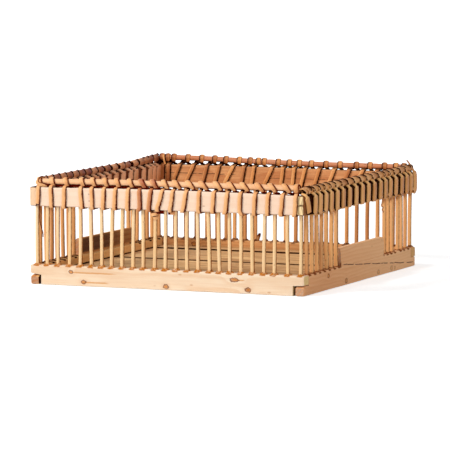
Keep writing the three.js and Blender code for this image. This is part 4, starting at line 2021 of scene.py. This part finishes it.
FRONT_TURNS = (
    Turn(-93.8, -93.2, 0.15, 1.2, (-84.6, -87.4)), Turn(-83.5, -84.0, 0.1, 1.6),
    Turn(-74.2, -73.8, 0.1, 1.8), Turn(-60.8, -61.8, 0.2, 1.6),
    Turn(-53.1, -53.6, 0.1, 1.8), Turn(-45.0, -44.4, 0.1, 1.8),
    Turn(-36.6, -35.9, 0.0, 2.0), Turn(-27.0, -26.5, 0.15, 2.6), Turn(-17.9, -18.3, -0.6, 3.4),
    Turn(-11.4, -9.8, -0.5, 3.4), Turn(-5.1, -1.5, 0.15, 3.2), Turn(4.4, 6.2, 0.1, 4.4),
    Turn(13.9, 15.9, 0.2, 4.6), Turn(24.8, 25.3, 0.0, 4.8), Turn(35.1, 35.9, 0.1, 4.6),
    Turn(44.5, 45.7, 0.15, 4.6), Turn(54.7, 55.0, 0.1, 4.8), Turn(64.9, 65.7, 0.0, 4.8),
    Turn(74.4, 75.0, 0.05, 4.6), Turn(84.0, 85.2, 0.0, 4.2), Turn(94.1, 94.6, 0.0, 0.6, (92.2, 93.0)),
)
# Each turn at the back: where it wraps the rod, where it crosses the inside of the band, and its tone.
BACK_STRIPS = (
    (92.8, 88.6, 90.6, -0.3), (86.7, 78.8, 82.9, 0.0), (78.2, 66.8, 73.6, -0.5), (67.2, 56.0, 62.8, -0.1),
    (57.0, 47.4, 52.5, -0.5), (44.5, 36.3, 41.0, 0.15), (33.8, 25.9, 29.8, -0.3), (22.7, 15.8, 18.9, 0.1),
    (13.5, 9.2, 10.6, 0.1), (5.8, 0.4, 1.9, -0.1), (-2.8, -12.3, -6.6, -0.2), (-13.6, -22.5, -20.5, -0.1),
    (-24.6, -30.5, -28.2, -0.5), (-32.9, -43.4, -36.9, 0.1), (-43.4, -51.3, -47.8, -0.4),
    (-52.2, -60.6, -57.3, -0.5), (-62.4, -73.8, -68.0, -0.3), (-73.3, -83.8, -78.8, -0.4),
    (-84.4, -87.8, -87.3, -0.6), (-89.4, -92.3, -91.9, -0.6),
)
BACK_TWICE = (-13.6, -89.4)
RIGHT_PLACES = (
    -92.4, -81.9, -73.4, -63.7, -54.6, -44.2, -33.7, -22.6, -11.0, 0.4, 10.9, 21.8, 33.2, 42.4,
    51.3, 61.6, 72.9, 82.3, 90.2,
)
# Where the strips cross the inside of the left band.
LEFT_STRIPS = (
    -76.5, -67.0, -57.5, -48.0, -38.5, -29.0, -19.5, -9.8, -0.2, 9.7, 20.8, 32.3, 44.5,
    53.2, 66.0, 76.8, 83.5, 91.0,
)

# The thread that hangs from the right band, in places along the side, out and up.
THREAD = (
    (38.4, 2.6, 53.4), (38.0, 2.6, 49.6), (36.2, 2.6, 47.7), (39.8, 2.6, 46.0), (37.4, 2.6, 44.9),
    (40.2, 2.6, 42.9),
)
# Places along the front and heights of the fibre that hangs at its left end.
FIBRE = ((-92.8, 53.9), (-92.8, 51.5), (-92.9, 42.0), (-91.8, 38.0), (-90.7, 34.7), (-90.7, 32.0))
# The ring that the front strand makes round the rod's left end, in places along, out and up.
FIRST_RING = (
    (-91.9, -2.0, 71.2), (-92.2, 0.4, 72.4), (-93.5, 2.3, 71.4), (-94.3, 3.1, 69.4),
    (-92.9, 3.0, 67.9), (-90.4, 2.4, 67.2), (-87.4, 1.2, 67.0),
)
# The pale strand that binds the back rod at its left end, in places along, out and up, and its tone.
CORNER_TIE = (
    (-90.2, -2.8, BAND_TOP + 0.5, 0.0), (-90.9, -3.3, 69.6, 0.1), (-91.6, -2.6, 72.0, 0.0),
    (-92.4, 0.0, 73.2, -0.4), (-93.0, 2.8, 72.0, -0.4), (-93.4, 3.3, 68.4, -0.4),
)
# The right strand's last corners: places along, out and up, and then how the strand looks there.
RIGHT_TAIL = (
    ((97.5, 3.5, BAND_TOP - 1.0), (0.1, 0.0, 2.0, 1.6)),
    ((96.8, 2.0, BAND_TOP + 2.2), (0.0, 0.2, 1.5, LACE_THICKNESS, 0.6)),
    ((95.6, 1.0, 70.4), (-0.2, 0.1, 1.5, LACE_THICKNESS, 0.35, 0.3)),
    ((93.8, 0.2, 72.6), (-0.3, 0.0, 1.0, 0.7, 0.3, 0.3)),
    ((91.8, -0.6, 74.6), (-0.3, 0.4, 0.8, 0.5, 0.2, 0.3)),
)


def loose(
    side: Side, course: Iterable[Sequence[float]], axis: Vector, seed: int, width: float, **look: float,
) -> Strand:
    """A loose strand through corners beside a side: along, out and up, and then a Corner's values."""
    corners = [Corner(side.at(*spot[:3]), *spot[3:], **look) for spot in course]
    return Strand(corners, axis, seed, width)


def binding(side: Side, place: float, top: float = 70.6) -> list[Strand]:
    """The dark rounds that fill the gap between a rod's end and its band, coloured as painted shade.

    Args:
        side: The side of the basket.
        place: Where they lie along it.
        top: How high they reach.

    Returns:
        The strands.
    """
    strands = []
    for seed, lean in ((67, 1.0), (68, -1.4)):
        course = (
            (place + lean * 0.4, -0.6 - 0.5 * lean, BAND_TOP - 0.3, -0.7, 0.9),
            (place, -0.9, (BAND_TOP + top) / 2, -0.7, 0.8, 1.5, 1.2),
            (place - lean * 1.2, 0.2, top, -0.7, 0.9),
        )
        strands.append(loose(side, course, side.axis, seed, 3.6, lens=0.4))
    return strands


def front_ends() -> list[Strand]:
    """The front strand's loose parts.

    Returns:
        The knot under the band, the two ends beside it, the fibre at the left end, the ring round the
        rod's left end, and the dark tail between the rod and the band, which is painted shade.
    """
    spindle, under = -8.2, BAND_BOTTOM
    knot = []
    for k in range(15):
        angle, reach = math.radians(150 + 48 * k), 3.3 - 0.1 * k
        tone = -0.35 if k < 6 else 0.2
        spot = (spindle + reach * math.cos(angle), reach * math.sin(angle), under - 0.4 - 0.36 * k)
        knot.append((*spot, tone, 0.0, 1.2, 0.9))
    black = [
        (spindle + 2.2 + step, 1.6, under - 1.1, -0.6, stain)
        for step, stain in ((0.0, 1.0), (1.6, 1.0), (3.4, 0.9), (5.0, 1.0))
    ]
    end = [
        (2.4 + step, 1.9, under - 1.2, tone, stain)
        for step, tone, stain in ((0.0, -0.3, 1.0), (1.2, -0.3, 0.9), (2.2, -0.3, 0.1), (4.6, -0.35, 0.1))
    ]
    fibre = [(along, 1.7, up, -0.6, 0.9, 2.0, 0.5) for along, up in FIBRE]
    ring = [(*spot, 0.15, 0.0, 1.2, 1.0) for spot in FIRST_RING]
    # A dark strand in the gap between the rod and the band: painted shade.
    tail = [
        (along, -0.3, (BAND_TOP + 0.7 + FRONT_ROD.height(along) - FRONT_ROD.radius) / 2, -0.6, 1.0)
        for along in range(-91, 4, 6)
    ]
    side = Side.FRONT
    return [
        loose(side, knot, Z_WAY, 61, 2.5, edge=0.3),
        loose(side, black, Z_WAY, 62, 2.4, edge=0.3),
        loose(side, end, Z_WAY, 63, 2.8, edge=0.3),
        loose(side, fibre, X_WAY, 64, 0.6),
        loose(side, ring, (X_WAY + Z_WAY).normalized(), 69, 2.7, edge=0.3, lens=0.5),
        loose(side, tail, Y_WAY, 70, 2.2, thickness=1.3),
    ]


@dataclass
class Rim:
    """The four bands, the four rods over them and the strands that tie them together."""

    finishes: dict[str, bpy.types.Material]

    def front(self) -> Lacing:
        """The front strand."""
        return Lacing(
            Side.FRONT, FRONT_TURNS, FRONT_HEADS, 92.9, 55, FRONT_ROD, wrap_width=1.25, wrap_shade_edge=0.4,
            wrap_tone=-0.12, wrap_thickness=1.3, lens=0.6, loose=front_ends(),
        )

    def back(self) -> Lacing:
        """The back strand, with the pale strand that binds its rod at the left end.

        Returns:
            The strand.
        """
        turns = [
            Turn(wrap, wrap, tone, 3.0 if wrap > -89 else 1.6, (bottom, top), 2 if wrap in BACK_TWICE else 1)
            for wrap, bottom, top, tone in BACK_STRIPS
        ]
        tie = [(*spot, tone, 0.0, 1.2, 1.1) for *spot, tone in CORNER_TIE]
        return Lacing(
            Side.BACK, turns, BACK_SPINDLES, 92.9, 54, BACK_ROD, wrap_width=1.2, wrap_shade_edge=-0.5,
            wrap_tone=-0.1, wrap_thickness=1.2, lens=0.5, hook_width=1.4,
            loose=[loose(Side.BACK, tie, X_WAY, 66, 1.9, edge=0.3, lens=0.5), *binding(Side.BACK, -94.4)],
        )

    def sides(self) -> list[Lacing]:
        """The right strand with its thread, and the left one.

        Returns:
            The two strands.
        """
        draw = random.Random(5)
        spindles = (-SPINDLE_LINE, *SIDE_SPINDLES, SPINDLE_LINE)
        right = [Turn(place - 0.4, place + 0.4, draw.uniform(-0.4, 0.25), 6.0) for place in RIGHT_PLACES]
        right[0] = replace(right[0], top=-95.6, wraps=2)
        right[-1] = replace(right[-1], drift=2.6)
        right.append(Turn(97.5, 97.5, 0.1))
        left = [
            Turn(place - 9.0, place - 8.3, draw.uniform(-0.5, 0.35), 5.0, (place - 0.6, place + 0.4))
            for place in LEFT_STRIPS
        ]
        left.append(Turn(91.2, 91.8, -0.2, 5.0))
        thread = loose(Side.RIGHT, [(*spot, -0.4, 0.3, 1.0, 0.7) for spot in THREAD], Y_WAY, 65, 1.1)
        tail = [Corner(Side.RIGHT.at(*spot), *look) for spot, look in RIGHT_TAIL]
        return [
            Lacing(
                Side.RIGHT, right, spindles, 91.6, 55, RIGHT_ROD, 1.6, 5.6, wrap_width=1.55, wrap_shade_edge=0.42,
                wrap_thickness=1.5, lens=0.8, top_lean=2.2, top_width=0.4, hook_highlight=1.0, ending=tail,
                loose=[thread, *binding(Side.RIGHT, 98.9, 68.4)],
            ),
            Lacing(
                Side.LEFT, left, spindles, 91.6, 54, LEFT_ROD, 1.6, 6.6, wrap_width=1.3, wrap_shade_edge=0.3,
                wrap_tone=-0.5, wrap_thickness=1.5, lens=0.8, hook_lean=3.0, hook_width=0.35, hook_highlight=0.7,
                hook_shade=0.0, loose=[*binding(Side.LEFT, 92.3), *binding(Side.LEFT, 97.3, 69.6)],
            ),
        ]

    def build(self) -> None:
        """Builds and settles the rods, and then each band with its strand."""
        for side, rod, finish in (
            (Side.FRONT, FRONT_ROD, "front rod"), (Side.BACK, BACK_ROD, "back rod"),
            (Side.LEFT, LEFT_ROD, "back rod"), (Side.RIGHT, RIGHT_ROD, "right rod"),
        ):
            name = side.name.lower()
            node = f"{name}_rim_rod"
            rod.build(side).settle(f"{name}_rod", self.finishes[finish], Slot.ROD_CANE, node, 60)
        right, left = self.sides()
        inside = HALF_WIDTH - BAND_THICKNESS - 0.5
        for band, slot in (
            (Band(self.front(), inside, crown=0.9, crown_place=10.0), Slot.BAND_PINE),
            (Band(self.back(), inside, crown=0.5, crown_place=-40.0), Slot.DARK_BAND_PINE),
            (Band(right, HALF_DEPTH, (0.49,), 0.85), Slot.BAND_PINE),
            (Band(left, HALF_DEPTH), Slot.DARK_BAND_PINE),
        ):
            name = band.lacing.side.name.lower()
            band.build().settle(f"{name}_band", self.finishes[f"{name} band"], slot, f"{name}_top_band")
            lace = self.finishes[f"{name} lace"]
            band.lacing.build().settle(f"{name}_lace", lace, Slot.LACE_CANE, f"{name}_lacing", 50)


# The basket's finishes


def build_finishes() -> dict[str, bpy.types.Material]:
    """Builds every finish of the basket.

    Returns:
        The materials by the name of what they dress.
    """
    effects = Effects()
    front_knots = (
        Knot((-69.6, -99.5, 9.2), 1.15, 1.3, 36.0), Knot((-60.0, -99.5, 2.9), 1.2, 1.5, 20.0),
        Knot((0.7, -99.5, 2.3), 1.4, 1.3), Knot((50.4, -99.5, 9.0), 1.3, 2.3, 8.0),
        Knot((60.1, -99.5, 2.6), 1.4, 1.5),
    )
    right_knots = (
        Knot((-58.0, 99.5, 9.2), 1.3, 1.3), Knot((-27.3, 99.5, 2.9), 1.5, 1.5),
        Knot((30.8, 99.5, 2.6), 1.4, 1.4), Knot((54.9, 99.5, 2.8), 1.5, 1.4),
        Knot((61.1, 99.5, 2.5), 1.1, 1.4),
    )
    # The front's finishes are paler and those of the sides, the back and the inside darker: partly the
    # wood's own colour, and partly painted light on the lit front and painted shade on the other faces.
    finishes: dict[str, Pine | Cane] = {
        "front rail": Pine(
            "front rail pine", colour(243, 219, 189), colour(228, 182, 138), colour(215, 154, 96),
            colour(186, 108, 24), colour(250, 234, 212), colour(222, 190, 124), Axis.X,
            spacing=2.4, wander=7.0, ring_share=0.46, streak_share=0.26, knots=front_knots,
        ),
        "right rail": Pine(
            "right rail pine", colour(238, 180, 130), colour(218, 144, 88), colour(214, 142, 84),
            colour(126, 62, 22), colour(250, 204, 154), colour(198, 158, 126), Axis.Y,
            spacing=2.0, wander=6.0, pith=(0.0, 120.0, -20.0), knots=right_knots,
            cracks=(Crack(-36.0, 98.0, 11.2, -0.088, 0.42),),
        ),
        # The left rail is pale partly as painted light on its inner face and top, which lie in shade.
        "left rail": Pine(
            "left rail pine", colour(232, 168, 100), colour(190, 112, 50), colour(172, 94, 38),
            colour(58, 22, 4), colour(240, 190, 124), colour(190, 142, 108), Axis.Y,
            spacing=3.0, wander=6.0, pith=(0.0, -120.0, 60.0), ring_share=0.75,
        ),
        "back rail": Pine(
            "back rail pine", colour(220, 164, 104), colour(186, 114, 60), colour(180, 108, 56),
            colour(84, 32, 12), colour(236, 190, 136), colour(224, 178, 116), Axis.X,
            spacing=1.8, wander=5.0, pith=(0.0, 120.0, -12.0), ring_share=0.6,
            knots=(Knot((-93.5, 92.0, 8.9), 1.5, 2.2), Knot((-66.8, 92.0, 9.6), 1.5, 1.2)),
        ),
        "floor": Pine(
            "floor planks", colour(254, 206, 142), colour(166, 104, 52), colour(162, 102, 52),
            colour(60, 32, 16), colour(255, 218, 166), colour(200, 150, 110), Axis.X,
            spacing=3.4, wander=24.0, pith=(0.0, 10.0, -60.0), ring_share=0.75, streak_share=0.55,
            streak_width=7.0, roughness=0.72,
        ),
        "front band": Pine(
            "front band pine", colour(246, 215, 189), colour(238, 196, 162), colour(234, 188, 152),
            colour(98, 22, 4), colour(250, 230, 212), colour(240, 214, 170), Axis.X,
            spacing=2.6, wander=4.0, ring_share=0.25, streak_share=0.2, bump=0.25,
        ),
        # The right band's dark colours are partly its own and partly painted shade between the strands.
        "right band": Pine(
            "right band pine", colour(150, 92, 46), colour(120, 64, 28), colour(116, 62, 26),
            colour(40, 8, 0), colour(190, 130, 76), colour(250, 220, 164), Axis.Y,
            spacing=2.4, wander=4.0, pith=(0.0, 120.0, 60.0), ring_share=0.4,
        ),
        "back band": Pine(
            "back band pine", colour(232, 168, 112), colour(192, 118, 68), colour(184, 110, 62),
            colour(60, 14, 4), colour(240, 186, 134), colour(214, 160, 104), Axis.X,
            spacing=2.0, wander=7.0, pith=(0.0, 120.0, 60.0), ring_share=0.85, streak_share=0.6,
            streak_width=1.5,
            cracks=(Crack(-94.0, -34.0, 60.2, 0.0, 0.3), Crack(-12.0, 90.0, 58.4, 0.01, 0.18)),
        ),
        # The left band's dark colours are painted shade, seen between the strands on its inner face.
        "left band": Pine(
            "left band pine", colour(112, 56, 30), colour(80, 34, 16), colour(76, 34, 16),
            colour(36, 4, 0), colour(150, 88, 54), colour(240, 202, 164), Axis.Y,
            spacing=2.2, wander=5.0, pith=(0.0, -120.0, 60.0), ring_share=0.3, end_share=0.06,
        ),
        "front spindle": Cane(
            "front spindle cane", colour(246, 206, 148), colour(226, 162, 94), colour(146, 80, 26),
            colour(251, 224, 184), shade=colour(190, 120, 60), roughness=0.5,
        ),
        "side spindle": Cane(
            "side spindle cane", colour(242, 176, 106), colour(212, 130, 62), colour(108, 50, 14),
            colour(252, 206, 148), shade=colour(160, 88, 44), roughness=0.5,
        ),
        "front rod": Cane(
            "front rod cane", colour(241, 182, 130), colour(220, 138, 84), colour(76, 10, 0),
            colour(249, 212, 172), patch_size=14.0,
        ),
        "right rod": Cane(
            "right rod cane", colour(224, 154, 90), colour(190, 112, 52), colour(40, 8, 0),
            colour(234, 190, 142), patch_size=12.0,
        ),
        "back rod": Cane(
            "back rod cane", colour(207, 126, 80), colour(162, 76, 36), colour(52, 6, 0),
            colour(236, 180, 142), patch_size=14.0,
        ),
        "front lace": Cane(
            "front lace cane", colour(232, 162, 98), colour(210, 124, 62), colour(92, 12, 0),
            colour(248, 202, 148), roughness=0.4, patch_size=6.0, shade=colour(154, 56, 32),
        ),
        "right lace": Cane(
            "right lace cane", colour(219, 142, 68), colour(176, 92, 32), colour(40, 4, 0),
            colour(244, 186, 118), streak_share=0.6, patch_share=0.6, roughness=0.4, patch_size=6.0,
            shade=colour(134, 60, 22),
        ),
        "back lace": Cane(
            "back lace cane", colour(226, 148, 80), colour(192, 104, 44), colour(44, 2, 0),
            colour(246, 188, 124), roughness=0.4, patch_size=6.0, shade=colour(122, 38, 18),
        ),
        "left lace": Cane(
            "left lace cane", colour(208, 134, 78), colour(168, 90, 42), colour(44, 4, 0),
            colour(244, 182, 140), roughness=0.4, patch_size=6.0, shade=colour(116, 40, 22),
        ),
    }
    return {name: finish.build(effects) for name, finish in finishes.items()}


# Studio


def towards(azimuth: float, elevation: float) -> Vector:
    """The way from the basket to something at these angles, in degrees."""
    turn, rise = math.radians(azimuth), math.radians(elevation)
    return Vector((math.sin(turn) * math.cos(rise), -math.cos(turn) * math.cos(rise), math.sin(rise)))


@dataclass(frozen=True)
class Lamp:
    """A soft studio lamp that looks at the basket."""

    name: str
    azimuth: float
    elevation: float
    distance: float
    size: float
    power: float
    aim: float = 0.03

    def build(self) -> None:
        """Adds the lamp."""
        lamp = bpy.data.lights.new(self.name, "AREA")
        lamp.shape = "SQUARE"
        lamp.size = self.size
        lamp.energy = self.power
        way = towards(self.azimuth, self.elevation)
        stand = bpy.data.objects.new(self.name, lamp)
        stand.location = way * self.distance + Z_WAY * self.aim
        stand.rotation_euler = way.to_track_quat("Z", "Y").to_euler()
        bpy.context.scene.collection.objects.link(stand)


@dataclass(frozen=True)
class Studio:
    """Floor, light, background and camera."""

    azimuth: float = 24.175
    elevation: float = 5.660
    roll: float = -0.310
    distance: float = 2.5557
    target: tuple[float, float, float] = (-0.00394, 0.00640, 0.03341)
    lens: float = 296.94
    sensor: float = 36.0
    floor_half: float = 30.0
    floor_sink: float = 0.0002
    ambient: float = 0.38
    lamps: tuple[Lamp, ...] = (
        Lamp("key light", -38.0, 38.0, 1.7, 0.45, 19.0),
        Lamp("side light", 50.0, 28.0, 2.0, 0.5, 8.0),
    )

    def build_floor(self) -> None:
        """Adds the floor."""
        half = self.floor_half
        mesh = bpy.data.meshes.new("studio_floor")
        corners = [(-half, -half, 0), (half, -half, 0), (half, half, 0), (-half, half, 0)]
        mesh.from_pydata(corners, [], [(0, 1, 2, 3)])
        mesh.materials.append(Floor().build())
        plane = bpy.data.objects.new("studio_floor", mesh)
        bpy.context.scene.collection.objects.link(plane)
        plane.location.z = -self.floor_sink

    def build_world(self) -> None:
        """White to the camera and to reflections, plain soft light to everything else."""
        world = bpy.data.worlds.new("studio")
        world.use_nodes = True
        bpy.context.scene.world = world
        light = seen(world.node_tree) * (1 - self.ambient) + self.ambient
        fill(world.node_tree.nodes["Background"], Color=WHITE, Strength=light)

    def build_camera(self) -> None:
        """Adds the camera at the photograph's angle."""
        back, roll = towards(self.azimuth, self.elevation), math.radians(self.roll)
        right = (-back).cross(Z_WAY).normalized()
        top = right.cross(-back).normalized()
        level = right * math.cos(roll) + top * math.sin(roll)
        upright = top * math.cos(roll) - right * math.sin(roll)
        lens = bpy.data.cameras.new("camera")
        lens.lens = self.lens
        lens.sensor_width = self.sensor
        lens.clip_end = 100.0
        camera = bpy.data.objects.new("camera", lens)
        turned = Matrix((level, upright, back)).transposed().to_4x4()
        camera.matrix_world = Matrix.Translation(Vector(self.target) + back * self.distance) @ turned
        bpy.context.scene.collection.objects.link(camera)
        bpy.context.scene.camera = camera

    def build(self) -> None:
        """Builds the studio."""
        self.build_camera()
        self.build_floor()
        self.build_world()
        for lamp in self.lamps:
            lamp.build()
        bpy.context.scene.view_settings.view_transform = "Standard"


def main() -> None:
    """Builds the studio and the basket."""
    logging.basicConfig(level=logging.INFO, format="%(name)s: %(message)s")
    noise.seed_set(NOISE_SEED)
    Studio().build()
    finishes = build_finishes()
    Bottom(finishes).build()
    Spindles(finishes).build()
    Rim(finishes).build()
    bpy.context.view_layer.update()


if __name__ == "__main__":
    main()
